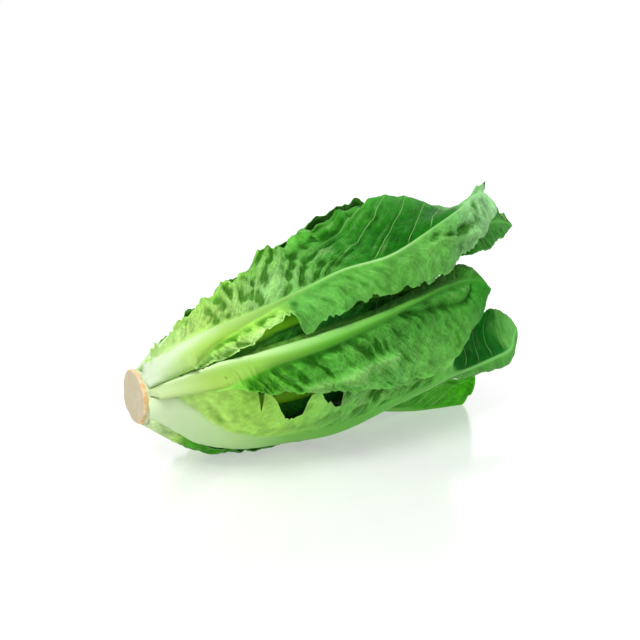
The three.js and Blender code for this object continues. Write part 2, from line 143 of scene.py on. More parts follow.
INNER_TOP = (
    (16, 32, 11.5, 48, 11.5, 66, 11.5, 84, 11.5, 100, 11.5),
    (60, 24, 30, 44, 30, 64, 31, 84, 31, 104, 30),
    (110, 22, 43, 42, 45, 62, 46, 83, 45, 104, 44),
    (165, 24, 46, 42, 50, 60, 51, 80, 51, 100, 52),
    (215, 30, 42, 44, 47, 58, 51, 76, 52, 92, 52),
    (255, 42, 28, 48, 38, 56, 47, 70, 50, 82, 52),
    (284, 48, 26, 52, 36, 56, 45, 63, 52, 69, 57),
    (300, 52, 30, 54, 37, 56, 44, 58, 51, 60, 57),
    (310, 54, 34, 55, 37, 55, 39, 56, 41, 57, 43),
)


# ---- Numbers along and round the head -------------------------------------------------------
def ramp(low: float, high: float, value: np.ndarray) -> np.ndarray:
    """Smooth step.

    Args:
        low: value at which it is 0.
        high: value at which it is 1.
        value: where to read it.

    Returns:
        The step at each value.
    """
    t = np.clip((value - low) / (high - low), 0, 1)
    return t * t * (3 - 2 * t)


def mix(a: np.ndarray, b: np.ndarray, t: np.ndarray) -> np.ndarray:
    """Go from a to b as t goes from 0 to 1."""
    return a + (b - a) * t


def catmull(points: np.ndarray, t: np.ndarray) -> np.ndarray:
    """Follow a Catmull-Rom curve.

    Args:
        points: control points along the last axis but one, shape (..., n, k).
        t: where to read it, from 0 to n - 1, shape (..., m).

    Returns:
        The curve's points, shape (..., m, k).
    """
    last = points.shape[-2] - 1
    i = np.clip(np.floor(t).astype(int), 0, last - 1)
    s = (t - i)[..., None]

    def pick(k: np.ndarray) -> np.ndarray:
        """Take the control points that k numbers."""
        return np.take_along_axis(points, np.clip(k, 0, last)[..., None], axis=-2)

    a, b, c, d = pick(i - 1), pick(i), pick(i + 1), pick(i + 2)
    return 0.5 * (
        2 * b + (c - a) * s + (2 * a - 5 * b + 4 * c - d) * s**2 + (3 * b - a - 3 * c + d) * s**3
    )


def head_height(x: np.ndarray) -> np.ndarray:
    """Height of the head line at x."""
    return np.interp(x, [p[0] for p in HEAD_LINE], [p[1] for p in HEAD_LINE])


def round_head(x: np.ndarray, angle: np.ndarray, r: np.ndarray) -> np.ndarray:
    """Place points given round the head line.

    Args:
        x: distance along the head.
        angle: angle in degrees.
        r: radius.

    Returns:
        Points in millimetres, with one more axis of length 3.
    """
    turn = np.radians(angle)
    x = np.broadcast_to(x, turn.shape)
    return np.stack([x, r * np.cos(turn), head_height(x) + r * np.sin(turn)], axis=-1)


class Noise:
    """Smooth seeded noise on a plane, from -1 to 1, one bump a unit."""

    SIZE = 128

    def __init__(self, seed: int) -> None:
        """Draw the noise's values from a seed."""
        self.values = np.random.default_rng(seed).uniform(-1, 1, (self.SIZE, self.SIZE))

    def at(self, x: np.ndarray, y: np.ndarray | float = 0.0) -> np.ndarray:
        """Read the noise.

        Args:
            x: first coordinate.
            y: second coordinate.

        Returns:
            The noise at each point.
        """
        x, y = np.broadcast_arrays(x, y)
        i, j = np.floor(x).astype(int), np.floor(y).astype(int)
        u, v = ramp(0, 1, x - i), ramp(0, 1, y - j)

        def corner(di: int, dj: int) -> np.ndarray:
            """Read the value at one corner of each point's square."""
            return self.values[(i + di) % self.SIZE, (j + dj) % self.SIZE]

        near = mix(corner(0, 0), corner(1, 0), u)
        far = mix(corner(0, 1), corner(1, 1), u)
        return mix(near, far, v)


class Nest:
    """How far out the pieces laid so far reach, on a grid round the head line."""

    STEP_X = 2.0
    STEP_ANGLE = 2.0
    FIRST_X = -6.0
    ROWS = 168
    COLUMNS = 180

    def __init__(self) -> None:
        """Start with nothing laid."""
        self.reach = np.zeros((self.ROWS, self.COLUMNS))

    def place(self, points: np.ndarray) -> tuple[np.ndarray, np.ndarray, np.ndarray]:
        """Find where on the grid each point lies, and its radius.

        Args:
            points: points in millimetres.

        Returns:
            Row and column, both with a fraction, and radius of each.
        """
        rise = points[..., 2] - head_height(points[..., 0])
        angle = np.degrees(np.arctan2(rise, points[..., 1])) % 360
        row = np.clip((points[..., 0] - self.FIRST_X) / self.STEP_X, 0, self.ROWS - 2)
        return row, angle / self.STEP_ANGLE, np.hypot(points[..., 1], rise)

    def mark(self, points: np.ndarray) -> None:
        """Count points as laid.

        Args:
            points: points in millimetres.
        """
        row, column, r = self.place(points)
        cell = (np.rint(row).astype(int), np.rint(column).astype(int) % self.COLUMNS)
        np.maximum.at(self.reach, cell, r)

    def shortfall(self, points: np.ndarray, tuck: float) -> np.ndarray:
        """How far each point still has to go out to clear what is laid.

        Args:
            points: points in millimetres.
            tuck: a point deeper than this under what is laid has slipped beneath it and stays.

        Returns:
            The distance at each point.
        """
        row, column, r = self.place(points)
        i, j = np.floor(row).astype(int), np.floor(column).astype(int)
        total, weight = np.zeros_like(r), np.zeros_like(r)
        for di, part_i in ((0, 1 - row + i), (1, row - i)):
            for dj, part_j in ((0, 1 - column + j), (1, column - j)):
                reach = self.reach[i + di, (j + dj) % self.COLUMNS]
                part = part_i * part_j * (reach > 0)
                total += part * reach
                weight += part
        need = total / np.maximum(weight, 1e-6)
        return np.where((weight > 0.05) & (need - r < tuck), np.maximum(need + GAP - r, 0), 0)


def widen(values: np.ndarray, cells: int) -> np.ndarray:
    """Spread the highest values of a grid to their neighbours and soften the result.

    Args:
        values: a grid of numbers.
        cells: how many cells to spread by.

    Returns:
        The softened grid.
    """
    for axis in (0, 1):
        pad = [(cells, cells) if k == axis else (0, 0) for k in (0, 1)]
        for join in (np.max, np.mean, np.mean):
            padded = np.pad(values, pad, mode="edge")
            windows = np.lib.stride_tricks.sliding_window_view(padded, 2 * cells + 1, axis=axis)
            values = join(windows, axis=-1)
    return values


# ---- Finishes --------------------------------------------------------------------------------
Stops = tuple[tuple[float, str], ...]  # x in mm and a tone
COLOR = {"data_type": "RGBA", "out": 2}  # a Mix node that blends two colours
DARKEN = {**COLOR, "blend_type": "MULTIPLY"}
SMOOTH = {"interpolation_type": "SMOOTHSTEP"}
TIMES = {"operation": "MULTIPLY"}


def linear(code: str) -> tuple[float, float, float, float]:
    """Turn an sRGB hex colour into a linear one.

    Args:
        code: the colour, such as "#5da02f".

    Returns:
        Red, green, blue and an alpha of 1.
    """
    parts = [int(code[k : k + 2], 16) / 255 for k in (1, 3, 5)]
    red, green, blue = (c / 12.92 if c <= 0.04045 else ((c + 0.055) / 1.055) ** 2.4 for c in parts)
    return red, green, blue, 1.0


def plug(node: bpy.types.Node, inputs: dict) -> None:
    """Fill a node's inputs.

    Args:
        node: the node.
        inputs: socket name or number to a value, a hex colour or the socket it is linked from.
    """
    for key, value in inputs.items():
        if isinstance(value, bpy.types.NodeSocket):
            node.id_data.links.new(value, node.inputs[key])
        else:
            node.inputs[key].default_value = linear(value) if isinstance(value, str) else value


def add_node(
    tree: bpy.types.NodeTree, kind: str, inputs: dict, out: int | str = 0, stops: Stops = (), **settings
) -> bpy.types.NodeSocket:
    """Add a node with its settings and links.

    Args:
        tree: the node tree.
        kind: the node's type, without "ShaderNode".
        inputs: what plug fills in.
        out: name or number of the output that is wanted.
        stops: x and tone of each stop of a colour ramp that runs from foot to tip.
        settings: the node's own properties.

    Returns:
        That output.
    """
    node = tree.nodes.new("ShaderNode" + kind)
    for name, value in settings.items():
        setattr(node, name, value)
    plug(node, inputs)
    if stops:
        elements = node.color_ramp.elements
        while len(elements) < len(stops):
            elements.new(1.0)
        for element, (x, code) in zip(elements, stops):
            element.position = x / LONGEST
            element.color = linear(code)
    return node.outputs[out]


def new_material(name: str) -> tuple[bpy.types.Material, bpy.types.NodeTree, bpy.types.Node]:
    """Make a material.

    Args:
        name: its name.

    Returns:
        The material, its node tree and its shader, already wired to the output.
    """
    material = bpy.data.materials.new(name)
    material.use_nodes = True
    return material, material.node_tree, material.node_tree.nodes["Principled BSDF"]


@dataclass(frozen=True)
class LeafTissue:
    """Romaine leaf: waxy, satin green tissue that pales to white along its ribs.

    Tones run from foot to tip. The low and high halves are those of falling and rising angle;
    each has tones beside the midrib and tones at its edge.
    """

    low: Stops
    high: Stops
    rib: Stops
    low_edge: Stops = ()
    high_edge: Stops = ()
    rib_shade: Stops = ()  # painted shade: the rib's tones on its side towards the half of rising angle
    shade_over: tuple[float, float] = (-1.0, 7.0)  # mm from the midrib over which the painted shade takes over
    # the veins' own lighter tone, also laid on the blade's swells as a painted highlight
    vein: str = "#a5cf80"
    dip_shade_tone: str = "#86ab6e"  # painted shade: what a deep dip or a pucker multiplies the tone by
    turns: tuple[float, float] = (0.15, 0.85)  # where across a half the edge's tones take over
    roughness: float = 0.45
    patch: float = 9  # mm across a patch of lighter or darker tone
    pucker: float = 4  # mm across the dips between the finest veins
    crinkle: tuple[float, float] = (1.6, 5.5)  # mm, width and length between the side veins
    pebble: float = 1.2  # mm, the skin's own grain, drawn coarse enough to show

    def base_tone(
        self, tree: bpy.types.NodeTree, read: dict[str, bpy.types.NodeSocket]
    ) -> bpy.types.NodeSocket:
        """Blend each half's tones beside the midrib into those at its edge, and join the halves.

        Args:
            tree: the node tree.
            read: the leaf's painted attributes.

        Returns:
            The colour.
        """
        near, far = self.turns
        out = add_node(
            tree, "MapRange", {"Value": read["share"], "From Min": near, "From Max": far}, **SMOOTH
        )
        halves = []
        for inner, edge in ((self.low, self.low_edge), (self.high, self.high_edge)):
            tone = add_node(tree, "ValToRGB", {0: read["station"]}, stops=inner)
            if edge:
                at_edge = add_node(tree, "ValToRGB", {0: read["station"]}, stops=edge)
                tone = add_node(tree, "Mix", {0: out, 6: tone, 7: at_edge}, **COLOR)
            halves.append(tone)
        return add_node(tree, "Mix", {0: read["half"], 6: halves[0], 7: halves[1]}, **COLOR)

    def rib_tone(
        self, tree: bpy.types.NodeTree, read: dict[str, bpy.types.NodeSocket]
    ) -> bpy.types.NodeSocket:
        """Blend the rib's tones, from its crest, which carries a painted highlight, to painted shade on
        its side.

        Args:
            tree: the node tree.
            read: the leaf's painted attributes.

        Returns:
            The colour.
        """
        crest = add_node(tree, "ValToRGB", {0: read["station"]}, stops=self.rib)
        if not self.rib_shade:
            return crest
        shaded = add_node(tree, "ValToRGB", {0: read["station"]}, stops=self.rib_shade)
        sign = add_node(tree, "MapRange", {"Value": read["half"], "To Min": -1.0})
        across = add_node(tree, "Math", {0: sign, 1: read["away"]}, **TIMES)
        near, far = self.shade_over
        side = add_node(tree, "MapRange", {"Value": across, "From Min": near, "From Max": far}, **SMOOTH)
        return add_node(tree, "Mix", {0: side, 6: crest, 7: shaded}, **COLOR)

    def make(self, name: str) -> bpy.types.Material:
        """Build the material.

        Args:
            name: its name.

        Returns:
            The material.
        """
        material, tree, skin = new_material(name)
        read = {key: add_node(tree, "Attribute", {}, "Fac", attribute_name=key) for key in PAINTED}
        place = add_node(tree, "CombineXYZ", {"X": read["along"], "Y": read["away"]})
        patches = add_node(tree, "TexNoise", {"Vector": place, "Scale": 1 / self.patch, "Detail": 3.0})
        lighter = add_node(
            tree, "MapRange",
            {"Value": patches, "From Min": 0.35, "From Max": 0.7, "To Min": 0.8, "To Max": 1.18},
        )
        # Painted shade darkens the dips in the blade and a painted highlight lightens its swells.
        relief = {"Value": read["relief"]}
        dip_shade, swell_highlight = (
            add_node(tree, "MapRange", {**relief, "From Max": end, "To Max": most}, **SMOOTH)
            for end, most in ((-1.0, 1.0), (1.0, 0.3))
        )
        # Crinkles are drawn out between the side veins; their hollows are painted darker and their crests
        # lighter, as painted shade and highlight.
        drawn = add_node(tree, "CombineXYZ", {"X": read["drawn"], "Y": read["away"]})
        width, length = self.crinkle
        drawn = add_node(tree, "VectorMath", {0: drawn, 1: (1 / width, 1 / length, 1)}, **TIMES)
        crinkles = add_node(
            tree, "TexNoise", {"Vector": drawn, "Scale": 1.0, "Detail": 4.0, "Roughness": 0.6}
        )
        shaded = add_node(
            tree, "MapRange",
            {"Value": crinkles, "From Min": 0.3, "From Max": 0.7, "To Min": 0.66, "To Max": 1.27},
        )
        # Puckers sink between the finest veins and are painted darker there as shade, and carry their thin
        # light net.
        sway = add_node(tree, "TexNoise", {"Vector": place, "Scale": 1 / 3, "Detail": 2.0}, "Color")
        swayed = add_node(
            tree, "VectorMath", {0: sway, 1: (1.8, 1.8, 0), 2: place}, operation="MULTIPLY_ADD"
        )
        cells = add_node(
            tree, "TexVoronoi", {"Vector": swayed, "Scale": 1 / self.pucker}, "Distance",
            feature="DISTANCE_TO_EDGE", voronoi_dimensions="2D",
        )
        pucker = add_node(tree, "MapRange", {"Value": cells, "From Max": 0.3}, **SMOOTH)
        pucker = add_node(tree, "Math", {0: pucker, 1: read["savoy"]}, **TIMES)
        # Painted shade: a fifth of the pucker darkens the tone.
        dark = add_node(tree, "Math", {0: pucker, 1: 0.2}, **TIMES)
        net = add_node(
            tree, "MapRange", {"Value": cells, "From Min": 0.07, "From Max": 0.0, "To Max": 0.02}, **SMOOTH
        )
        # Side veins: thin lines, each 3 hundredths of the space between them wide.
        off = add_node(tree, "Math", {0: read["phase"], 1: 0.5}, operation="PINGPONG")
        line = add_node(tree, "MapRange", {"Value": off, "From Min": 0.03, "From Max": 0.012}, **SMOOTH)
        line = add_node(tree, "Math", {0: line, 1: read["vein"]}, **TIMES)
        # Each tint is laid over those before it, and the midrib over them all.
        color = self.base_tone(tree, read)
        for part, tone, how in (
            (1.0, lighter, DARKEN), (dip_shade, self.dip_shade_tone, DARKEN), (swell_highlight, self.vein, COLOR),
            (read["savoy"], shaded, DARKEN), (dark, self.dip_shade_tone, DARKEN), (net, self.vein, COLOR),
            (line, self.vein, COLOR), (read["ribbed"], self.rib_tone(tree, read), COLOR),
        ):
            color = add_node(tree, "Mix", {0: part, 6: color, 7: tone}, **how)
        # The skin's grain, then the crinkles and the puckers, catch the light.
        pebbles = add_node(tree, "TexNoise", {"Vector": place, "Scale": 1 / self.pebble, "Detail": 3.0})
        normal = add_node(tree, "Bump", {"Height": pebbles, "Strength": 0.12, "Distance": 0.6 * MM})
        for height, strength, deep, sunk in (
            (crinkles, read["savoy"], 1.6, False), (pucker, 0.35, 1.0, True)
        ):
            bump = {"Height": height, "Strength": strength, "Distance": deep * MM, "Normal": normal}
            normal = add_node(tree, "Bump", bump, invert=sunk)
        plug(skin, {
            "Base Color": color, "Roughness": self.roughness, "IOR": 1.42, "Specular IOR Level": 0.05,
            "Normal": normal, "Subsurface Weight": 0.15, "Subsurface Radius": (0.6, 1.0, 0.25),
            "Subsurface Scale": 1.5 * MM,
        })
        return material


@dataclass(frozen=True)
class CutStem:
    """Cut lettuce stem: moist cream pith that dries tan, with a browned rim and a pale neck."""

    pith: str = "#c6bfa6"
    dried: str = "#b9a886"
    rim: str = "#cf9f62"
    pale_rim: str = "#dccaa0"
    neck: str = "#d2deb8"
    rim_at: float = 15.9  # mm from the middle, where the rim's brown begins
    roughness: float = 0.62
    blotch: float = 6  # mm across the pith's dried blotches
    spot: float = 3  # mm over which the rim's brown comes and goes
    fibre: float = 0.7  # mm, the pith's fibres, drawn coarse enough to show

    def make(self, name: str) -> bpy.types.Material:
        """Build the material.

        Args:
            name: its name.

        Returns:
            The material.
        """
        material, tree, skin = new_material(name)
        place = add_node(tree, "TexCoord", {}, "Object")
        blotches, spots, fibres = (
            add_node(tree, "TexNoise", {"Vector": place, "Scale": 1 / (size * MM), "Detail": detail})
            for size, detail in ((self.blotch, 4.0), (self.spot, 4.0), (self.fibre, 3.0))
        )
        color = add_node(tree, "Mix", {0: blotches, 6: self.pith, 7: self.dried}, **COLOR)
        browned = add_node(tree, "MapRange", {"Value": spots, "From Min": 0.35, "From Max": 0.65})
        rim = add_node(tree, "Mix", {0: browned, 6: self.pale_rim, 7: self.rim}, **COLOR)
        for key, tone in (("out", rim), ("neck", self.neck)):
            part = add_node(tree, "Attribute", {}, "Fac", attribute_name=key)
            color = add_node(tree, "Mix", {0: part, 6: color, 7: tone}, **COLOR)
        bump = add_node(tree, "Bump", {"Height": fibres, "Strength": 0.3, "Distance": 0.4 * MM})
        plug(skin, {
            "Base Color": color, "Roughness": self.roughness, "IOR": 1.4, "Normal": bump,
            "Subsurface Weight": 0.1, "Subsurface Radius": (1.0, 0.7, 0.4),
            "Subsurface Scale": 1.5 * MM,
        })
        return material


# ---- Pieces ----------------------------------------------------------------------------------
class Slot(Enum):
    """Material slots, one given to each leaf."""

    STEM = "stem"
    HEART = "heart_leaf"
    PALE = "pale_leaf"
    GREEN = "green_leaf"
    DEEP = "deep_leaf"


def to_frame(points: np.ndarray) -> np.ndarray:
    """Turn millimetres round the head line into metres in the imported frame.

    Args:
        points: points in millimetres.

    Returns:
        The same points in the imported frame.
    """
    low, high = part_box("stem")
    start = np.array([low[0], (low[1] + high[1]) / 2, 0.0])
    return points * MM + start


def mesh_of(shape: bmesh.types.BMesh, name: str) -> tuple[bpy.types.Mesh, np.ndarray]:
    """Turn a shape into a mesh.

    Args:
        shape: the shape, which is freed.
        name: the mesh's name.

    Returns:
        The mesh and its points.
    """
    mesh = bpy.data.meshes.new(name)
    shape.to_mesh(mesh)
    shape.free()
    flat = np.empty(len(mesh.vertices) * 3)
    mesh.vertices.foreach_get("co", flat)
    return mesh, flat.reshape(-1, 3)


def put(
    node: str, mesh: bpy.types.Mesh, points: np.ndarray, painted: dict[str, np.ndarray],
    material: bpy.types.Material,
) -> None:
    """Place a mesh's points, paint and dress it, and let it stand for its node.

    Args:
        node: the node it stands for.
        mesh: the mesh.
        points: its points, in millimetres.
        painted: the attributes that its finish reads, by name.
        material: its finish.
    """
    mesh.vertices.foreach_set("co", to_frame(points).ravel())
    for key, values in painted.items():
        layer = mesh.attributes.new(key, "FLOAT", "POINT")
        layer.data.foreach_set("value", values.astype(np.float32))
    mesh.shade_smooth()
    mesh.update()
    mesh.materials.append(material)
    piece = bpy.data.objects.new("dressed_" + node, mesh)
    bpy.context.scene.collection.objects.link(piece)
    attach(piece, "root")
    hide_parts(node)
    LOG.info("%s: %d faces", node, len(mesh.polygons))


# ---- Leaves ----------------------------------------------------------------------------------
Pairs = tuple[tuple[float, float], ...]  # x in mm and a measure


def level(pairs: Pairs, x: np.ndarray) -> np.ndarray:
    """Read a measure given at some places along the head, straight between them."""
    return np.interp(x, *zip(*pairs))


@dataclass(frozen=True)
class Crease:
    """A fold that runs along a blade."""

    line: Pairs  # x and part of the half's width
    height: float  # mm, below 0 for a groove
    inside: float  # mm over which it dies away towards the midrib
    outside: float  # the same towards the edge
    shade: float = 0.0  # painted shade (below 0) or painted highlight (above 0) along the fold, added to the relief that tones the blade
    broken: float = 0.0  # how far it is broken into separate pockets, from 0 to 1


@dataclass(frozen=True)
class Half:
    """How one half of a blade is ribbed, pleated, puckered and cut."""

    rib: Pairs = ((0, 9), (20, 9), (90, 4), (200, 1.5), (320, 0.8))  # mm the midrib covers
    reach: Pairs = ((0, 1), (320, 1))  # part of the half's width that the blade covers
    pleats: Pairs = ((0, 0.2), (320, 0.3))  # mm
    streaks: Pairs = ((0, 0.1), (60, 0.35), (320, 0.3))  # mm
    blisters: Pairs = ((0, 0.1), (60, 0.4), (320, 0.3))  # mm
    veins: Pairs = ((0, 0.2), (80, 0.4), (320, 0.4))  # how far they take their own tone
    groove: Pairs = ((0, 0), (40, 0.5), (120, 0.4), (320, 0.1))  # mm, right beside the midrib, where it is also painted darker as shade
    folds: float = 12  # mm between pleats
    spacing: float = 15  # mm between side veins
    sweep: Pairs = ((0, 0), (320, 0))  # mm that the edge leans back towards the foot
    flare: Pairs = ((0, 0), (320, 0))  # mm that the very edge stands off the head, below 0 for in
    slant: Pairs = ((0, 0.75), (320, 0.75))  # how far a side vein runs forward as it runs out
    frills: Pairs = ((0, 0), (60, 1.6), (240, 1.6), (320, 0))  # mm
    ruffles: Pairs = ((0, 0), (320, 0))  # mm, the short waves of a torn, curly edge
    lobes: Pairs = ((10, 0), (30, 1.6), (320, 1.6))  # mm
    teeth: Pairs = ((10, 0), (30, 1.4), (320, 1.4))  # mm
    creases: tuple[Crease, ...] = ()


@dataclass
class Strip:
    """One half of a blade, as rows from foot to tip, and what cuts and puckers it."""

    half: Half
    noise: Noise
    x: np.ndarray  # mm along the head of each row
    along: np.ndarray  # mm along the midrib of each row
    width: np.ndarray  # mm from the midrib to the edge, before it is cut

    def edge_cut(self) -> np.ndarray:
        """Cut lobes and teeth into the edge.

        Returns:
            How far the edge is cut back at each row, in millimetres.
        """
        noise, along = self.noise, self.along
        lobes = 0.5 + 0.5 * np.sin(along / 3.1 + 3.5 * noise.at(along / 16, 1.5))
        beat = along / 4.4 + 1.1 * noise.at(along / 8, 6.5)
        teeth = (1 - np.abs(2 * (beat % 1) - 1)) * (0.8 + 0.6 * noise.at(along / 6, 4.5))
        return level(self.half.lobes, self.x) * lobes + level(self.half.teeth, self.x) * teeth

    def ridged(self, x: np.ndarray, y: np.ndarray) -> np.ndarray:
        """Noise from about -1.3 to 0.7, with sharp crests and round hollows, as between veins."""
        return 0.7 - 2.4 * np.abs(self.noise.at(x, y))

    def relief(self, v: np.ndarray, rib: np.ndarray, end: np.ndarray) -> dict[str, np.ndarray]:
        """Veins, pleats, streaks, blisters and creases.

        Args:
            v: part of the width from the midrib, across each row.
            rib: the part that the midrib takes at each row.
            end: the part where the edge is at each row.

        Returns:
            The relief's height, its painted shade and highlight, and the masks that colour it.
        """
        half, noise, width, s = self.half, self.noise, self.width[:, None], self.along[:, None]
        keys = ("slant", "pleats", "streaks", "blisters", "groove", "veins")
        much = {key: level(getattr(half, key), self.x)[:, None] for key in keys}
        away = v * width
        past_rib = (v - rib) * width
        blade = ramp(0, 5, past_rib)
        # Side veins leave the midrib at a slant, bend forward and wander.
        start = s - much["slant"] * away - 0.004 * away**2
        warped = start + 4.5 * noise.at(start / 17, 2.2) + 2.6 * noise.at(s / 12, away / 12)
        # Streaks follow the side veins, blisters are as long as wide, and pleats come and go.
        streak = self.ridged(warped / 4.2, away / 15) + 0.6 * noise.at(warped / 1.9 + 40, away / 6)
        blister = self.ridged(s / 8 + 20, away / 8 + 30) + 0.5 * noise.at(s / 3 + 9, away / 3 + 60)
        uneven = 0.55 + 0.6 * noise.at(s / 21 + 70, away / 15 + 70)
        pleat = uneven * np.cos(2 * np.pi * warped / half.folds) + 0.8 * noise.at(warped / 5, away / 14)
        # All of it is calmer at the edge, and none of it crosses the midrib.
        calm = blade * mix(0.35, 1, ramp(0, 0.12, end - v))
        fine = much["pleats"] * pleat + much["streaks"] * streak + much["blisters"] * blister
        fine = calm * fine
        groove = much["groove"] * np.exp(-(((past_rib - 2.4) / 2.6) ** 2))
        # Painted shade and highlight: the fine relief's crests are lighter, its hollows and the groove
        # beside the midrib darker.
        shade = fine / 1.2 - 0.55 * groove
        height = fine - groove + 0.8 * blade * noise.at(s / 26, away / 22)
        for crease in half.creases:
            first, last = crease.line[0][0], crease.line[-1][0]
            there = ramp(first - 3, first + 3, self.x) * (1 - ramp(last - 3, last + 3, self.x))
            # A crease dies away over its own distance on either side.
            gap = (v - level(crease.line, self.x)[:, None]) * width
            spread = np.where(gap < 0, crease.inside, crease.outside)
            form = there[:, None] * np.exp(-((gap / spread) ** 2))
            form = form * (1 - crease.broken * ramp(-0.3, 0.3, noise.at(s / 6 + 33, away / 5 + 12)))
            height = height + crease.height * form
            shade = shade + crease.shade * form
        return {
            "height": height,
            "along": s * np.ones_like(v),
            "away": away,
            "drawn": warped,
            "phase": warped / half.spacing,
            "vein": np.clip(blade * (1 - 0.4 * v) * much["veins"], 0, 1),
            # painted shade and highlight from the relief and the creases, and lighter at the very edge
            "relief": np.clip(shade + 0.8 * ramp(1.2, 0, (end - v) * width), -1, 1),
            "savoy": np.clip(calm * (0.1 + 0.9 * (much["streaks"] + much["blisters"])), 0, 1),
            "ribbed": 1 - ramp(-0.3, 0.6, past_rib),
        }


@dataclass
class Leaf:
    """One leaf, laid round the head by formula from its sections."""

    name: str
    sections: tuple[tuple[float, ...], ...]
    finish: LeafTissue
    slot: Slot = Slot.GREEN
    rib_depth: Pairs = ((0, 3), (30, 6), (120, 3.5), (240, 1.2), (320, 0.4))  # mm
    rib_round: Pairs = ((0, 0.35), (40, 0.8), (320, 1.2))  # 0.5 is half round, 2 flares out
    waves: float = 8
    low: Half = field(default_factory=Half)
    high: Half = field(default_factory=Half)
    rows: int = 240
    columns: int = 36  # each side of the midrib
    on_floor: bool = False
    tuck: float = math.inf  # mm under what is laid past which it stays tucked in
    tip_bow: float = 5  # how far the edges fall back behind the midrib at the tip
    seed: int = 1

    def spread_rows(self) -> tuple[np.ndarray, np.ndarray]:
        """Space the leaf's rows evenly along its midrib.

        Returns:
            The section at each row, and how far along the midrib it is.
        """
        table = np.array(self.sections, float)
        steps = np.linspace(0, len(table) - 1, 400)
        fine = catmull(table, steps)
        ribs = round_head(fine[:, 0], fine[:, 5], fine[:, 6])
        travelled = np.concatenate([[0], np.cumsum(np.linalg.norm(np.diff(ribs, axis=0), axis=1))])
        along = np.linspace(0, travelled[-1], self.rows + 1)
        return catmull(table, np.interp(along, travelled, steps)), along

    def half_of_rows(self, rows: np.ndarray, along: np.ndarray, side: int) -> dict[str, np.ndarray]:
        """Work out one half of the blade.

        Args:
            rows: the section at each row.
            along: how far along the midrib each row is.
            side: -1 for the half of falling angle, 1 for the other.

        Returns:
            Fields over the half, from the midrib to the edge.
        """
        half = self.low if side < 0 else self.high
        noise = Noise(self.seed * 10 + side)
        x = rows[:, 0]
        u = along / along[-1]
        pairs = rows[:, 1:].reshape(len(rows), 5, 2)
        marks = catmull(pairs, np.tile([2.0, 2.0 + side, 2.0 + 2 * side], (len(rows), 1)))
        rib, mid, edge = (round_head(x, marks[:, k, 0], marks[:, k, 1]) for k in range(3))
        width = np.linalg.norm(rib - mid, axis=1) + np.linalg.norm(mid - edge, axis=1)
        width = np.maximum(2, width)
        strip = Strip(half, noise, x, along, width)
        rib_share = np.clip(level(half.rib, x) / width, 0.008, 0.97)[:, None]
        end = level(half.reach, x) - np.clip(strip.edge_cut() / width, -0.3, 0.5)
        end = np.maximum(end, 0.05)[:, None]
        share = np.linspace(0, 1, self.columns + 1)[None, :]
        v = share * end
        points = catmull(pairs, 2 + 2 * side * v)
        turns = 2 * np.pi * (self.waves * u + (0.3 if side > 0 else 0))
        # The edge is thrown into long waves, ripples and, where it is torn, short ruffles.
        wave = np.sin(turns) + 0.5 * np.sin(2.3 * turns + 1)
        ripple = noise.at(along / 7, 3.3) + 0.6 * noise.at(along / 3.6, 9.1)
        frill = level(half.frills, x) * (1 - ramp(0.85, 1, u)) * (wave + 0.9 * ripple)
        frill = frill + level(half.ruffles, x) * np.sin(along / 1.7 + 2.5 * noise.at(along / 14, 5.2))
        swell = np.clip(1 - (v / rib_share) ** 2, 0, 1) ** level(self.rib_round, x)[:, None]
        return {
            "x": x[:, None] - self.tip_bow * (ramp(0.82, 1, u)[:, None] * share) ** 2
            - level(half.sweep, x)[:, None] * share**3,
            "angle": points[..., 0],
            "r": points[..., 1] + frill[:, None] * v**2.2,
            "flare": level(half.flare, x)[:, None] * share**5,
            "bump": level(self.rib_depth, x)[:, None] * swell,
            "thin": mix(1.0, EDGE / BLADE, ramp(0.86, 1, share)) * np.ones_like(v),
            "share": v,
            "half": np.full_like(v, 0.0 if side < 0 else 1.0),
            "station": np.broadcast_to(x[:, None] / LONGEST, v.shape),
            **strip.relief(v, rib_share, end),
        }

    def fields(self) -> dict[str, np.ndarray]:
        """Join the two halves.

        Returns:
            Fields over the whole blade, edge to edge.
        """
        rows, along = self.spread_rows()
        low, high = (self.half_of_rows(rows, along, side) for side in (-1, 1))
        return {key: np.concatenate([low[key][:, ::-1], high[key][:, 1:]], axis=1) for key in low}

    def faces(self, at: dict[str, np.ndarray]) -> tuple[np.ndarray, np.ndarray]:
        """Place the leaf's two faces.

        Args:
            at: the leaf's fields.

        Returns:
            The outer and the inner face, in millimetres.
        """
        middle = round_head(at["x"], at["angle"], at["r"])
        outward = np.cross(np.gradient(middle, axis=1), np.gradient(middle, axis=0))
        outward = outward / np.maximum(np.linalg.norm(outward, axis=-1, keepdims=True), 1e-9)
        half = BLADE / 2 * at["thin"]
        out = half + RIB_OUT * at["bump"] + at["height"]
        back = half + (1 - RIB_OUT) * at["bump"] - at["height"]
        return middle + outward * out[..., None], middle - outward * back[..., None]

    def lay(self, nest: Nest) -> tuple[np.ndarray, np.ndarray, dict[str, np.ndarray]]:
        """Push the leaf clear of what is laid, press it on the surface and mark its place.

        Args:
            nest: what is laid so far.

        Returns:
            The outer face, the inner face and the leaf's fields.
        """
        at = self.fields()
        for spread in (10, 8, 6, 5, 4):
            outer, inner = self.faces(at)
            lift = np.maximum(nest.shortfall(inner, self.tuck), nest.shortfall(outer, self.tuck))
            at["r"] = at["r"] + widen(lift, spread)
        at["r"] = at["r"] + at["flare"]
        outer, inner = self.faces(at)
        floor = 0.0 if self.on_floor else UNDER_ROOM
        for face, least in ((outer, floor), (inner, floor + BLADE)):
            above = face[..., 2] - least - 0.4
            face[..., 2] = least + 0.5 * (above + np.sqrt(above**2 + 0.6))
            nest.mark(face)
        return outer, inner, at

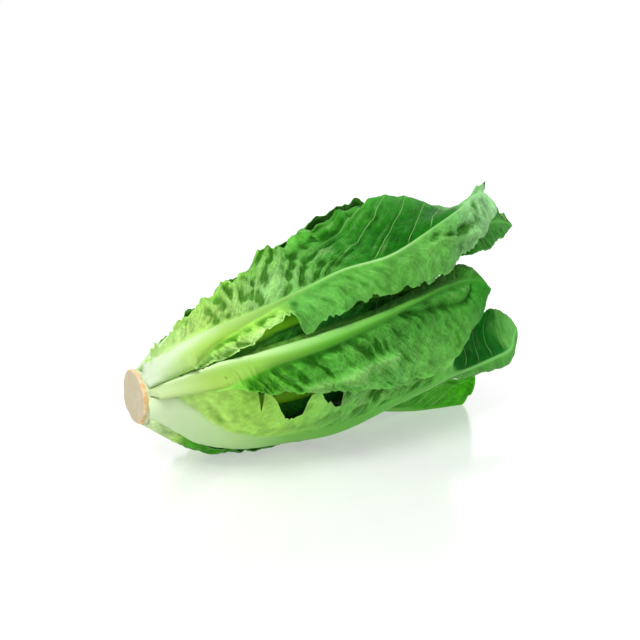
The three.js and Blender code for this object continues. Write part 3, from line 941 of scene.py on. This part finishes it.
    def build(self, nest: Nest) -> None:
        """Make the leaf's mesh and let it stand for its node.

        Args:
            nest: what is laid so far.
        """
        outer, inner, at = self.lay(nest)
        across = outer.shape[1] - 1
        slab = bmesh.new()
        bmesh.ops.create_grid(slab, x_segments=self.rows, y_segments=across, size=0.5)
        under = slab.faces[:]
        made = bmesh.ops.extrude_face_region(slab, geom=under, use_keep_orig=True)
        raised = [part for part in made["geom"] if isinstance(part, bmesh.types.BMVert)]
        bmesh.ops.translate(slab, verts=raised, vec=(0, 0, 1))
        bmesh.ops.reverse_faces(slab, faces=under)
        # A grid corner's x gives its row and its y, counted from the far side, its column.
        mesh, flat = mesh_of(slab, self.name)
        i = np.rint((flat[:, 0] + 0.5) * self.rows).astype(int)
        j = across - np.rint((flat[:, 1] + 0.5) * across).astype(int)
        points = np.where(flat[:, 2:] > 0.5, outer[i, j], inner[i, j])
        painted = {key: at[key][i, j] for key in PAINTED}
        put(self.name, mesh, points, painted, self.finish.make(self.name + "_tissue"))


def common_sections(
    foot: float, stem: float, angle: float, lean: float, length: float, girth: float,
    tuck: float, spread: float, foot_spread: float, cup: float,
) -> tuple[tuple[float, ...], ...]:
    """Sections of a leaf that leaves the stem, swells to girth and closes over the heart.

    Args:
        foot: x of the foot.
        stem: radius at the foot.
        angle: angle of the midrib at the foot.
        lean: how far the midrib turns by the tip.
        length: length along the head.
        girth: radius at its fullest.
        tuck: part of that radius lost by the tip.
        spread: half the angle that the blade covers.
        foot_spread: the same at the foot.
        cup: how much nearer the heart the edges are.

    Returns:
        The table of sections.
    """
    u = np.array([0, 0.08, 0.2, 0.36, 0.52, 0.68, 0.83, 0.94, 1])
    swell = np.sin(np.pi / 2 * np.clip(u / 0.5, 0, 1))
    r = mix(stem, girth, swell) * (1 - tuck * ramp(0.55, 1, u))
    closing = np.maximum(0, (u - 0.45) / 0.55) ** 4
    half = mix(foot_spread, spread, ramp(0, 0.35, u)) * np.sqrt(np.maximum(0.01, 1 - closing))
    edge = r - cup * ramp(0.1, 0.6, u)
    mid = mix(r, edge, 0.3)
    rib = angle + lean * u
    columns = [foot + length * u, rib - half, edge, rib - half / 2, mid, rib, r]
    columns += [rib + half / 2, mid, rib + half, edge]
    return tuple(zip(*(c.tolist() for c in columns)))


def heart_leaves() -> list[Leaf]:
    """The four young leaves of the heart.

    Returns:
        The leaves, innermost first.
    """
    turn = 137.5  # degrees, the golden angle at which young leaves follow each other
    tones = ((0, "#cfe3a0"), (80, "#a5cf62"), (220, "#86bb43"))
    pale = LeafTissue(tones, tones, ((0, "#dceab8"), (200, "#b9d987")))
    calm = Half(rib=((0, 4), (200, 1.5)), frills=((0, 0), (60, 0.6), (240, 0.6), (300, 0)))
    leaves = []
    for k in range(4):
        sections = common_sections(
            foot=40 - 7 * k, stem=6 + 1.2 * k, angle=250 + turn * k, lean=8, length=150 + 16 * k,
            girth=14 + 6 * k, tuck=0.6, spread=75, foot_spread=50, cup=2,
        )
        leaves.append(Leaf(
            f"heart_leaf_{k + 1}", sections, pale, Slot.HEART, rib_depth=((0, 2), (200, 1)), waves=3,
            low=calm, high=calm, rows=70, columns=12, seed=20 + k,
        ))
    return leaves


def inner_leaves() -> list[Leaf]:
    """The ring of leaves that shows in the gaps between the outer ones.

    Returns:
        The leaves, innermost first.
    """
    ring = (
        ("inner_lower_leaf", 16, 11.5, 252, -6, 190, 40, 0.25),
        ("inner_back_leaf", 14, 11.9, 350, 8, 215, 44, 0.35),
        ("inner_upper_front_leaf", 12, 12.3, 132, 4, 205, 42, 0.3),
        ("inner_front_leaf", 10, 12.7, 202, -8, 226, 46, 0.42),
    )
    tones = (
        (0, "#a8d860"), (50, "#7ccc3c"), (88, "#4cb83c"), (125, "#40b442"), (160, "#1f6e10"),
        (230, "#1a640e"),
    )
    # The rib's tones are brighter and more saturated than its own colour: painted light that makes up for
    # the shade in the gaps where it shows.
    rib = ((0, "#d4f090"), (60, "#b4ff40"), (110, "#90f424"), (150, "#6cc428"), (220, "#4d9430"))
    finish = LeafTissue(tones, tones, rib)
    calm = Half(rib=((0, 6), (200, 1.5)), frills=((0, 0), (60, 1.2), (240, 1.2), (300, 0)))
    leaves = []
    for k, (name, foot, stem, angle, lean, length, girth, tuck) in enumerate(ring):
        sections = common_sections(
            foot, stem, angle, lean, length, girth, tuck, spread=58, foot_spread=34, cup=4
        )
        leaves.append(Leaf(
            name, sections, finish, rib_depth=((0, 3), (60, 4), (220, 1)), waves=5,
            low=calm, high=calm, rows=130, columns=24, seed=30 + k,
        ))
    return leaves


def lower_front_leaf() -> Leaf:
    """The front leaf that rests lowest: a very wide pale base and a cupped, spoon-like tip.

    Returns:
        The leaf.
    """
    finish = LeafTissue(
        low=((0, "#c8e0a0"), (30, "#aad466"), (75, "#90c852"), (105, "#68b24a"), (195, "#62b848"),
            (208, "#6cbc54"), (213, "#087410"), (262, "#087410"), (269, "#62b24c"), (290, "#74c062")),
        low_edge=((0, "#b8d880"), (45, "#a4dc58"), (95, "#88c858"), (118, "#74be58"), (190, "#78c05a"),
            (205, "#78c45c"), (210, "#087410"), (272, "#0c7a14"), (277, "#5aab45"), (290, "#74c062")),
        high=((0, "#bcd6a2"), (60, "#8fc068"), (150, "#5a9f3e"), (225, "#4f9a3a"), (290, "#5cae4a")),
        rib=((0, "#cadcb4"), (50, "#a2c882"), (82, "#74b04e"), (130, "#64aa48"), (200, "#74bc5c"),
            (290, "#7cc86a")),
    )
    low = Half(
        rib=((0, 20), (9, 21), (14, 18), (20, 15.5), (28, 15), (55, 17), (76, 15.5), (108, 8), (130, 4),
            (170, 2), (220, 1), (290, 0.6)),
        reach=((0, 1.15), (20, 1.25), (40, 1.2), (50, 1.1), (54, 1.0), (57, 0.62), (59.5, 0.88),
            (64, 0.8), (69, 0.68), (72, 0.6), (76, 0.57), (81, 0.6), (85, 0.63), (88, 0.8), (93, 1),
            (96, 0.94), (99, 0.8), (104, 0.76), (107, 0.66), (112, 0.62), (114, 0.84), (117, 1.04),
            (188, 1.04), (196, 1.12), (207, 1.12), (212, 1.1), (230, 1), (290, 1)),
        pleats=((0, 0), (60, 0.1), (115, 0.2), (125, 0.4), (185, 0.4), (195, 0.1), (262, 0.4),
            (290, 0.2)),
        streaks=((0, 0), (50, 0.1), (110, 0.2), (120, 0.6), (185, 0.45), (195, 0.1), (290, 0.1)),
        blisters=((0, 0), (12, 0.2), (60, 0.3), (105, 0.3), (120, 0.8), (185, 0.6), (195, 0.2),
            (290, 0.2)),
        veins=((0, 0.1), (100, 0.15), (210, 0.2), (225, 0.6), (262, 0.6), (272, 0.2), (290, 0.1)),
        spacing=13, lobes=((10, 0), (60, 0.5), (115, 0.8), (125, 2.2), (290, 1.6)),
        teeth=((10, 0), (45, 0), (55, 1.6), (115, 1.8), (290, 1.8)),
    )
    high = Half(rib=((0, 16), (90, 12), (150, 4), (200, 1.4), (290, 0.6)))
    return Leaf(
        "lower_front_leaf", LOWER_FRONT, finish, Slot.PALE, low=low, high=high, waves=9,
        rib_depth=((0, 3), (30, 6), (110, 4.5), (200, 1.8), (290, 0.6)),
        rib_round=((0, 0.3), (30, 0.5), (60, 1), (120, 1), (290, 1)), rows=320, columns=44, seed=6,
    )


def front_leaf() -> Leaf:
    """The leaf in the middle of the front, its far half folded in and its near half draped down.

    Returns:
        The leaf.
    """
    finish = LeafTissue(
        low=((0, "#b5d288"), (60, "#7ab844"), (120, "#4f9a30"), (240, "#3c8a28")),
        high=((0, "#b9d488"), (16, "#a8d468"), (30, "#7cbe38"), (42, "#5ca824"), (80, "#459428"),
            (130, "#4a9632"), (180, "#367e28"), (205, "#3a8a28"), (240, "#2c881e")),
        high_edge=((0, "#b9d488"), (24, "#9cd45c"), (48, "#5cac2c"), (90, "#58ac3a"), (150, "#68b850"),
            (170, "#6cbc50"), (205, "#64b848"), (222, "#4aa436"), (240, "#309020")),
        rib=((0, "#c8d8b0"), (30, "#c4dca4"), (62, "#b0d490"), (105, "#84c064"), (150, "#64ac46"),
            (200, "#549e3c"), (240, "#3c8e2c")),
        # The rib is paler on its crest, a painted highlight, and painted shade darkens its side towards
        # the near half.
        rib_shade=((0, "#b0c490"), (30, "#8cb04c"), (62, "#80b448"), (105, "#58a430"), (150, "#4c982c"),
            (200, "#48922e"), (240, "#3c8e2c")),
        shade_over=(-2.5, 3.5),
    )
    low = Half(
        rib=((0, 4), (18, 5), (36, 6.5), (110, 5), (150, 2.6), (180, 1.2), (240, 0.6)),
        streaks=((0, 0.1), (240, 0.3)), blisters=((0, 0.1), (240, 0.3)),
        frills=((0, 0), (60, 0.8), (200, 0.8), (240, 0)),
    )
    high = Half(
        rib=((0, 3), (18, 4), (36, 5.5), (110, 5), (150, 2.8), (180, 1.2), (240, 0.6)),
        groove=((0, 0), (24, 0.3), (50, 1.2), (110, 1.3), (160, 0.8), (240, 0)),
        reach=((0, 1.2), (18, 1.2), (40, 1.08), (60, 1.06), (182, 1.05), (190, 1.12), (202, 1.12),
            (210, 1.05), (240, 1.05)),
        pleats=((0, 0), (50, 0.15), (100, 0.2), (180, 0.15), (240, 0.1)),
        streaks=((0, 0), (20, 0.4), (45, 0.7), (150, 0.7), (190, 0.4), (240, 0.2)),
        blisters=((0, 0), (20, 0.3), (45, 0.3), (150, 0.25), (190, 0.2), (240, 0.2)),
        veins=((0, 0), (60, 0.15), (240, 0.2)), spacing=7, slant=((0, 0.7), (240, 0.7)),
        frills=((0, 0), (60, 1.4), (180, 1.8), (240, 0.3)),
        lobes=((30, 0), (50, 2), (180, 2.6), (240, 2)), teeth=((30, 0), (50, 2), (190, 2.4), (240, 2)),
        # Each crease's last numbers are painted shade (below 0) or a painted highlight (above 0) along its
        # fold.
        creases=(
            Crease(((84, 0.86), (100, 0.8), (118, 0.72), (130, 0.62), (152, 0.54)), 3.6, 1.6, 5, 1.0),
            Crease(((84, 0.76), (100, 0.7), (118, 0.6), (130, 0.5), (152, 0.42)), -1.2, 4, 2, -0.4),
            Crease(((46, 0.9), (60, 0.7), (80, 0.5), (100, 0.4)), -1.0, 4, 4, -0.3, 0.6),
            Crease(
                ((158, 0.08), (175, 0.17), (190, 0.23), (205, 0.31), (214, 0.34), (220, 0.28),
                    (226, 0.1)),
                -1.8, 1.2, 3.5, -0.8,
            ),
            Crease(((184, 0.1), (200, 0.17), (214, 0.19), (222, 0.12)), 1.4, 3, 3, 0.5),
        ),
    )
    return Leaf(
        "front_leaf", FRONT, finish, low=low, high=high, waves=8,
        rib_depth=((0, 3), (30, 5), (60, 6), (110, 4.6), (170, 2), (240, 0.6)),
        rib_round=((0, 0.3), (40, 0.5), (120, 0.7), (240, 1)), rows=280, columns=44, seed=7,
    )


def top_front_leaf() -> Leaf:
    """The leaf on top: a broad rib, a pleated far half and a near half that flaps over.

    Returns:
        The leaf.
    """
    finish = LeafTissue(
        # The far half beside the midrib darkens from x 135 to 222: painted shade in its concave hollow
        # over the leaf's own deep green, while its edge stays lighter.
        low=((0, "#c6dea6"), (40, "#a8d068"), (80, "#8ac06c"), (112, "#5aa042"), (135, "#2e8020"),
            (170, "#126206"), (222, "#166a0c"), (232, "#78b86a"), (260, "#94cc8c")),
        low_edge=((0, "#b0d47c"), (30, "#9ccc60"), (70, "#80be4c"), (110, "#4c9e2a"), (150, "#388a22"),
            (190, "#3a8c2c"), (222, "#3a8c2c"), (232, "#78b86a"), (260, "#94cc8c")),
        high=((0, "#c6e09a"), (30, "#a4dc54"), (78, "#a0dc5c"), (88, "#5aa244"), (125, "#58a23e"),
            (160, "#549a3c"), (200, "#5fa548"), (215, "#62a654"), (235, "#86c07c"), (260, "#98d092")),
        high_edge=((0, "#c0e090"), (30, "#c8f094"), (78, "#b8e888"), (88, "#5aa244"), (160, "#5aa440"),
            (200, "#62a850"), (235, "#86c07c"), (260, "#98d092")),
        rib=((0, "#c2ceb8"), (30, "#bcd2a4"), (50, "#9cc06c"), (75, "#86b656"), (100, "#7eb85c"),
            (150, "#98c880"), (200, "#84be6c"), (260, "#94cc8c")),
        # The rib is paler on its crest, a painted highlight, and painted shade darkens its side towards
        # the near half.
        rib_shade=((0, "#bccab0"), (14, "#b0c898"), (30, "#a0c464"), (50, "#98c844"), (75, "#80b83c"),
            (100, "#5ca444"), (200, "#6cb058"), (260, "#94cc8c")),
        shade_over=(1.0, 8.0), vein="#98c878", turns=(0.45, 0.98),
    )
    low = Half(
        rib=((0, 14), (6, 9), (20, 6), (40, 4), (85, 1.6), (110, 0.6), (260, 0.3)),
        reach=((0, 1.25), (5, 1.25), (7, 1.05), (28, 1.15), (34, 1.04), (100, 1.04), (106, 0.86),
            (112, 0.92), (120, 1.02), (244, 1), (249, 0.9), (250.2, 1), (251.6, 2.2), (252.2, 1.6),
            (253, 0.4), (258, 0.5)),
        flare=((6.5, 0), (8.4, 3), (10.4, 0), (12.2, 6), (13.4, 2), (14.8, 5), (17, 0), (249.5, 0),
            (251.9, 11), (253, 0)),
        sweep=((6.5, 0), (8.4, 3.4), (10.4, 0), (12.2, 4), (13.4, 1.5), (14.8, 4), (17, 0), (249.5, 0),
            (251.9, -4.5), (253, 0)),
        pleats=((0, 0.1), (50, 0.2), (75, 0.8), (120, 0.9), (150, 0.5), (190, 0.2), (260, 0.2)),
        streaks=((0, 0.2), (50, 0.4), (75, 0.6), (120, 0.6), (150, 0.3), (190, 0.15), (260, 0.15)),
        blisters=((0, 0.3), (30, 0.7), (60, 0.7), (90, 0.9), (120, 0.9), (150, 0.35), (215, 0.2),
            (230, 0.5), (260, 0.3)),
        veins=((0, 0), (125, 0.1), (145, 0.55), (215, 0.6), (235, 0.1)), spacing=27,
        slant=((0, 0.4), (110, 0.5), (140, 1.3), (260, 1.4)),
        frills=((0, 0), (20, 1.2), (60, 2), (140, 1.4), (220, 0.8), (260, 0)),
        ruffles=((0, 0), (30, 1.2), (100, 1.6), (125, 0.4), (260, 0)),
        lobes=((0, 2), (30, 3.2), (110, 3.2), (130, 1.6), (260, 0.6)),
        teeth=((0, 2.6), (30, 2.6), (130, 2.2), (190, 0.8), (240, 0.6), (248, 0)),
    )
    high = Half(
        rib=((0, 24), (18, 20), (30, 13.5), (40, 9), (50, 6.5), (60, 4.5), (85, 1.4), (110, 0.6),
            (260, 0.3)),
        flare=((3, -3), (10, -4.2), (34, -4), (42, 0)),
        reach=((0, 1.2), (24, 1.25), (36, 1.2), (60, 1.2), (76, 1.18), (80, 0.9), (86, 0.8), (90, 1.08),
            (96, 1.04), (240, 1.04), (250, 1), (260, 1)),
        pleats=((0, 0.1), (40, 0.5), (90, 0.3), (260, 0.2)),
        streaks=((0, 0.1), (40, 0.3), (90, 0.25), (260, 0.2)),
        blisters=((0, 0.1), (35, 0.8), (80, 0.7), (95, 0.25), (195, 0.25), (225, 0.6), (260, 0.3)),
        veins=((0, 0), (90, 0.2), (260, 0.25)), spacing=13, slant=((0, 0.7), (260, 0.7)),
        frills=((0, 0), (25, 1.2), (50, 1.6), (80, 1.6), (95, 1.2), (200, 1.2), (260, 0)),
        ruffles=((20, 0), (32, 2.4), (78, 3.0), (90, 0.6), (220, 0.6), (250, 0)),
        lobes=((15, 0), (32, 3), (80, 5), (95, 4.5), (230, 4), (250, 0.5), (260, 0)),
        teeth=((15, 0), (30, 2.6), (230, 2.6), (250, 0.5), (260, 0)),
        # Each crease's last numbers are painted shade (below 0) or a painted highlight (above 0) along its
        # fold.
        creases=(
            Crease(((186, 0.27), (199, 0.3), (207, 0.42), (215, 0.57), (228, 0.66), (238, 0.82)), 1.6,
                1.2, 3, 0.5),
            Crease(((186, 0.17), (199, 0.2), (207, 0.32), (215, 0.47), (228, 0.56)), -0.8, 2, 2, -0.35),
            Crease(((196, 0.12), (202, 0.18)), -1.6, 1.6, 1.6, -0.9),
            Crease(((207, 0.32), (213, 0.4)), -1.6, 1.6, 1.6, -0.9),
            Crease(((217, 0.38), (225, 0.44)), -1.8, 1.8, 1.8, -1.0),
            Crease(((34, 0.7), (50, 0.45), (78, 0.3)), -1.2, 2, 3, -0.35),
        ),
    )
    return Leaf(
        "top_front_leaf", TOP_FRONT, finish, low=low, high=high, waves=9, tip_bow=0.5,
        rib_depth=((0, 3), (20, 6), (50, 6.5), (85, 3), (110, 1), (150, 0.5), (260, 0.3)),
        rib_round=((0, 0.3), (25, 0.6), (80, 0.9), (260, 1.2)), rows=320, columns=44, seed=11,
    )


def outer_leaves() -> list[Leaf]:
    """The leaves that shape the head's outside.

    Returns:
        The leaves, innermost first.
    """
    green = ((0, "#bfd8a0"), (60, "#6cb03c"), (130, "#3f8c28"), (260, "#3b862a"))
    rim = ((0, "#b0d488"), (60, "#7cbc44"), (130, "#519e38"), (260, "#4a9636"))
    rib = ((0, "#c4dab0"), (60, "#a9d27a"), (130, "#7fbc58"), (260, "#63a848"))
    plain = LeafTissue(green, green, rib, low_edge=rim, high_edge=rim)
    deep = ((0, "#8cba50"), (60, "#3f8a22"), (150, "#35782c"), (230, "#33852a"), (310, "#4a8c40"))
    dark = LeafTissue(
        low=deep,
        low_edge=((0, "#8cba50"), (60, "#2c7a18"), (150, "#36802c"), (215, "#2f8a14"), (260, "#2f8a14"),
            (310, "#4f9646")),
        high=deep, rib=((0, "#c4dab0"), (60, "#9fcb70"), (150, "#6fae4c"), (310, "#5a9f48")),
    )
    on_table = LeafTissue(
        low=((0, "#c4dca4"), (14, "#b4d48c"), (20, "#a0cc64"), (26, "#4ca024"), (60, "#2f8a18"),
            (150, "#4c9c3c"), (222, "#4cac28"), (236, "#48bc10"), (260, "#48bc10")),
        high=((0, "#bcd694"), (60, "#3f8a22"), (150, "#35782c"), (260, "#33852a")),
        rib=((0, "#cbdeb4"), (60, "#9fcb70"), (150, "#80c05c"), (260, "#5ab038")),
    )
    wide = Half(
        rib=((0, 15), (60, 11), (130, 5), (250, 1.2)),
        pleats=((0, 0.1), (60, 0.6), (150, 0.5), (250, 0.3)),
        streaks=((0, 0.1), (60, 0.45), (250, 0.3)), blisters=((0, 0.1), (60, 0.6), (250, 0.35)),
        frills=((0, 0), (50, 2), (220, 1.8), (260, 0)), lobes=((10, 0), (35, 2.4), (260, 2.4)),
        teeth=((10, 0), (35, 1.8), (260, 1.8)),
    )
    slim = replace(wide, rib=((0, 5), (60, 7), (130, 4), (250, 1.2)))
    toothed = replace(
        slim, veins=((0, 0), (120, 0.2), (170, 0.8), (260, 0.8)),
        teeth=((10, 0), (22, 3.2), (45, 3.2), (60, 1.6), (225, 1.4), (245, 0)),
        lobes=((10, 0), (35, 2), (225, 1.2), (245, 0)), spacing=13,
        reach=((0, 1.2), (8, 1.16), (22, 1.08), (45, 1.05), (60, 1), (234, 1), (239, 0.88), (243, 0.6),
            (250, 0.5)),
        flare=((3, -5.5), (8, -4.5), (14, -2.5), (28, -3.5), (48, -3.5), (65, 0)),
    )
    notched = Half(
        reach=((0, 1), (286, 1), (296, 1.25), (302.5, 1.4), (303.5, 0.4), (305, 0.5), (306, 1.8),
            (310, 1)),
    )
    inner_top = Leaf(
        "inner_top_leaf", INNER_TOP, dark, Slot.DEEP, low=Half(), high=notched, waves=5, rows=240,
        columns=28, seed=5,
    )
    top_back = Leaf(
        "top_back_leaf", TOP_BACK, plain, low=slim, high=slim, waves=7, rows=230, columns=34, seed=8,
        rib_depth=((0, 1), (30, 2), (120, 3.5), (240, 1.2), (320, 0.4)),
    )
    lower_back, back = (
        Leaf(
            name, common_sections(5, 14, *sizes, spread=36, foot_spread=foot, cup=cup), plain,
            low=wide, high=wide, waves=waves, columns=34, seed=seed,
        )
        for name, sizes, foot, cup, waves, seed in (
            ("lower_back_leaf", (316, 2, 256, 63, 0.14), 26, 4, 7, 9),
            ("back_leaf", (3, -2, 252, 65, 0.12), 22, 3, 8, 10),
        )
    )
    under = Leaf(
        "under_leaf", UNDER, on_table, Slot.DEEP, low=toothed, high=wide, waves=7, on_floor=True,
        tuck=3, tip_bow=0, columns=34, seed=12,
    )
    return [
        inner_top, lower_front_leaf(), front_leaf(), top_back, lower_back, back, top_front_leaf(), under
    ]


# ---- Stem ------------------------------------------------------------------------------------
@dataclass
class Stem:
    """The cut butt and the short stem that the leaves grow from."""

    radius: float = 17
    length: float = 62
    round_over: float = 1  # radius of the rim's rounded edge
    hollow: float = 0.25  # how far the middle of the cut face has shrunk in
    behind: float = 12  # radius that the leaves' feet close round
    heel: float = 4  # how far the neck swells under the lowest leaf's foot
    heel_at: float = 234  # degrees
    steps: int = 120
    finish: CutStem = field(default_factory=CutStem)

    def profile(self) -> list[tuple[float, float]]:
        """Draw the stem's outline, which is spun round the head line.

        Returns:
            Distance along the head and radius, from the middle of the cut face to the far end.
        """
        bend = [
            (self.round_over * (1 - math.cos(t)), self.radius - self.round_over * (1 - math.sin(t)))
            for t in np.linspace(0, math.pi / 2, 5)
        ]
        across = np.linspace(0, 15.6, 14)
        face = [(-self.hollow * math.cos(math.pi / 2 * r / self.radius), r) for r in across]
        neck = [(2.6, self.radius - 0.2), (3.5, 16.6), (4.6, 16.4), (5.8, 15.6), (7.5, 14.4), (10, 13)]
        core = [(14, 10), (22, 8), (42, 5), (self.length - 2, 3), (self.length, 0)]
        return face + bend + neck + core

    def build(self, nest: Nest) -> None:
        """Spin the stem, roughen it and let it stand for its node.

        Args:
            nest: what is laid so far.
        """
        turned = bmesh.new()
        verts = [turned.verts.new((x, 0, r)) for x, r in self.profile()]
        edges = [turned.edges.new(pair) for pair in zip(verts, verts[1:])]
        bmesh.ops.spin(
            turned, geom=verts + edges, cent=(0, 0, 0), axis=(1, 0, 0), dvec=(0, 0, 0),
            angle=2 * math.pi, steps=self.steps, use_merge=True, use_duplicate=False,
        )
        bmesh.ops.remove_doubles(turned, verts=turned.verts[:], dist=1e-4)
        bmesh.ops.recalc_face_normals(turned, faces=turned.faces[:])
        mesh, flat = mesh_of(turned, "stem")
        x, y, z = flat.T
        r = np.hypot(y, z)
        turn = np.arctan2(z, y)
        noise = Noise(40)
        # The cut rim is uneven, and the neck swells where the lowest leaf's foot leaves it.
        near = 1 - ramp(5, 12, x)
        uneven = near * ramp(8, 17, r) * (
            0.6 * noise.at(2 * np.cos(turn) + 20, 2 * np.sin(turn) + 20)
            + 0.3 * noise.at(6 * np.cos(turn) + 50, 6 * np.sin(turn) + 50)
        )
        below = np.clip(np.cos(turn - math.radians(self.heel_at)), 0, 1) ** 6
        heel = self.heel * below * ramp(3.5, 4.6, x) * (1 - ramp(5, 9, x)) * ramp(11, 15, r)
        grown = 1 + (uneven + heel) / np.maximum(r, 1)
        bumps = 0.15 * near * noise.at(y / 3 + 60, z / 3 + 60)
        middle = head_height(0)
        points = np.stack([x + bumps, y * grown, z * grown + middle], axis=-1)
        rim = ramp(self.finish.rim_at, self.radius, r * grown) * near
        painted = {"out": rim, "neck": ramp(3, 3.8, x)}
        put("stem", mesh, points, painted, self.finish.make("cut_stem"))
        nest.mark(points[r <= self.behind])
        turns = np.linspace(0, 2 * math.pi, self.steps)
        round_neck = (0 * turns + 4.6, self.behind * np.cos(turns), self.behind * np.sin(turns) + middle)
        nest.mark(np.stack(round_neck, axis=-1))


# ---- Studio ----------------------------------------------------------------------------------
@dataclass
class Studio:
    """A white glossy table, soft light and the camera."""

    azimuth: float = -30
    elevation: float = 16
    distance: float = 900
    target: tuple[float, float, float] = (134.5, 0, 75)
    lens: float = 76.1
    sensor: float = 36
    room: float = 0.72  # how brightly the white room lights the head
    backdrop: float = 1.15  # how bright the lit wall is that the table mirrors
    table: float = 4  # metres from its middle to its edge
    lamps_off: float = 1.2  # metres from the head to each soft box
    boxes: tuple[tuple[str, float, float, float, float], ...] = (  # soft boxes
        ("key", -62, 60, 0.6, 12),  # name, azimuth, elevation, side in metres, watts
        ("fill", -35, 9, 1.4, 3),
    )

    def back(self, azimuth: float, elevation: float) -> Vector:
        """Direction from the head to a camera or a light."""
        a, e = math.radians(azimuth), math.radians(elevation)
        return Vector((math.sin(a) * math.cos(e), -math.cos(a) * math.cos(e), math.sin(e)))

    def aim(self, thing: bpy.types.Object, azimuth: float, elevation: float, distance: float) -> None:
        """Place a camera or a light and turn it to the head.

        Args:
            thing: the object.
            azimuth: where it stands round the head, in degrees.
            elevation: how high, in degrees.
            distance: how far off it is, in metres.
        """
        away = self.back(azimuth, elevation)
        thing.location = Vector(to_frame(np.array(self.target))) + away * distance
        thing.rotation_euler = away.to_track_quat("Z", "Y").to_euler()
        bpy.context.scene.collection.objects.link(thing)

    def lay_table(self) -> None:
        """Lay the table, of white gloss laminate lit from below: a soft mirror that fades to white."""
        top = bmesh.new()
        bmesh.ops.create_grid(top, x_segments=1, y_segments=1, size=self.table)
        mesh, _ = mesh_of(top, "table")
        material, _, skin = new_material("white_gloss_table")
        plug(skin, {
            "Base Color": "#b4b4b4", "Roughness": 0.2, "IOR": 1.6, "Coat Weight": 1.0,
            "Coat Roughness": 0.2, "Coat IOR": 1.6, "Emission Color": "#ffffff",
            "Emission Strength": 0.52,
        })
        mesh.materials.append(material)
        thing = bpy.data.objects.new("table", mesh)
        bpy.context.scene.collection.objects.link(thing)

    def light_room(self) -> None:
        """Light the white room, with a brighter far wall for the table to mirror."""
        world = bpy.data.worlds.new("studio")
        world.use_nodes = True
        tree = world.node_tree
        glossy, seen = (add_node(tree, "LightPath", {}, f"Is {kind} Ray") for kind in ("Glossy", "Camera"))
        toward = add_node(tree, "TexCoord", {}, "Generated")
        ahead = tuple(-self.back(self.azimuth, 0))
        facing = add_node(tree, "VectorMath", {0: toward, 1: ahead}, "Value", operation="DOT_PRODUCT")
        wall = add_node(tree, "MapRange", {"Value": facing, "From Min": 0.75, "From Max": 0.9})
        mirrored = add_node(tree, "Math", {0: wall, 1: glossy}, **TIMES)
        indoors = add_node(
            tree, "MapRange", {"Value": mirrored, "To Min": self.room, "To Max": self.backdrop}
        )
        strength = add_node(tree, "MapRange", {"Value": seen, "To Min": indoors})
        plug(tree.nodes["Background"], {"Color": "#ffffff", "Strength": strength})
        bpy.context.scene.world = world

    def build(self) -> None:
        """Set up the table, the room, the camera and the lights."""
        self.lay_table()
        self.light_room()
        view = bpy.data.cameras.new("camera")
        view.lens = self.lens
        view.sensor_width = self.sensor
        camera = bpy.data.objects.new("camera", view)
        self.aim(camera, self.azimuth, self.elevation, self.distance * MM)
        bpy.context.scene.camera = camera
        for name, azimuth, elevation, side, watts in self.boxes:
            lamp = bpy.data.lights.new(name, "AREA")
            lamp.size = side
            lamp.energy = watts
            self.aim(bpy.data.objects.new(name, lamp), azimuth, elevation, self.lamps_off)
        bpy.context.scene.view_settings.view_transform = "Standard"


def main() -> None:
    """Build the head from the stem and the heart outwards, then the studio."""
    logging.basicConfig(level=logging.INFO, format="%(message)s")
    nest = Nest()
    Stem().build(nest)
    for leaf in heart_leaves() + inner_leaves() + outer_leaves():
        leaf.build(nest)
    Studio().build()


if __name__ == "__main__":
    main()
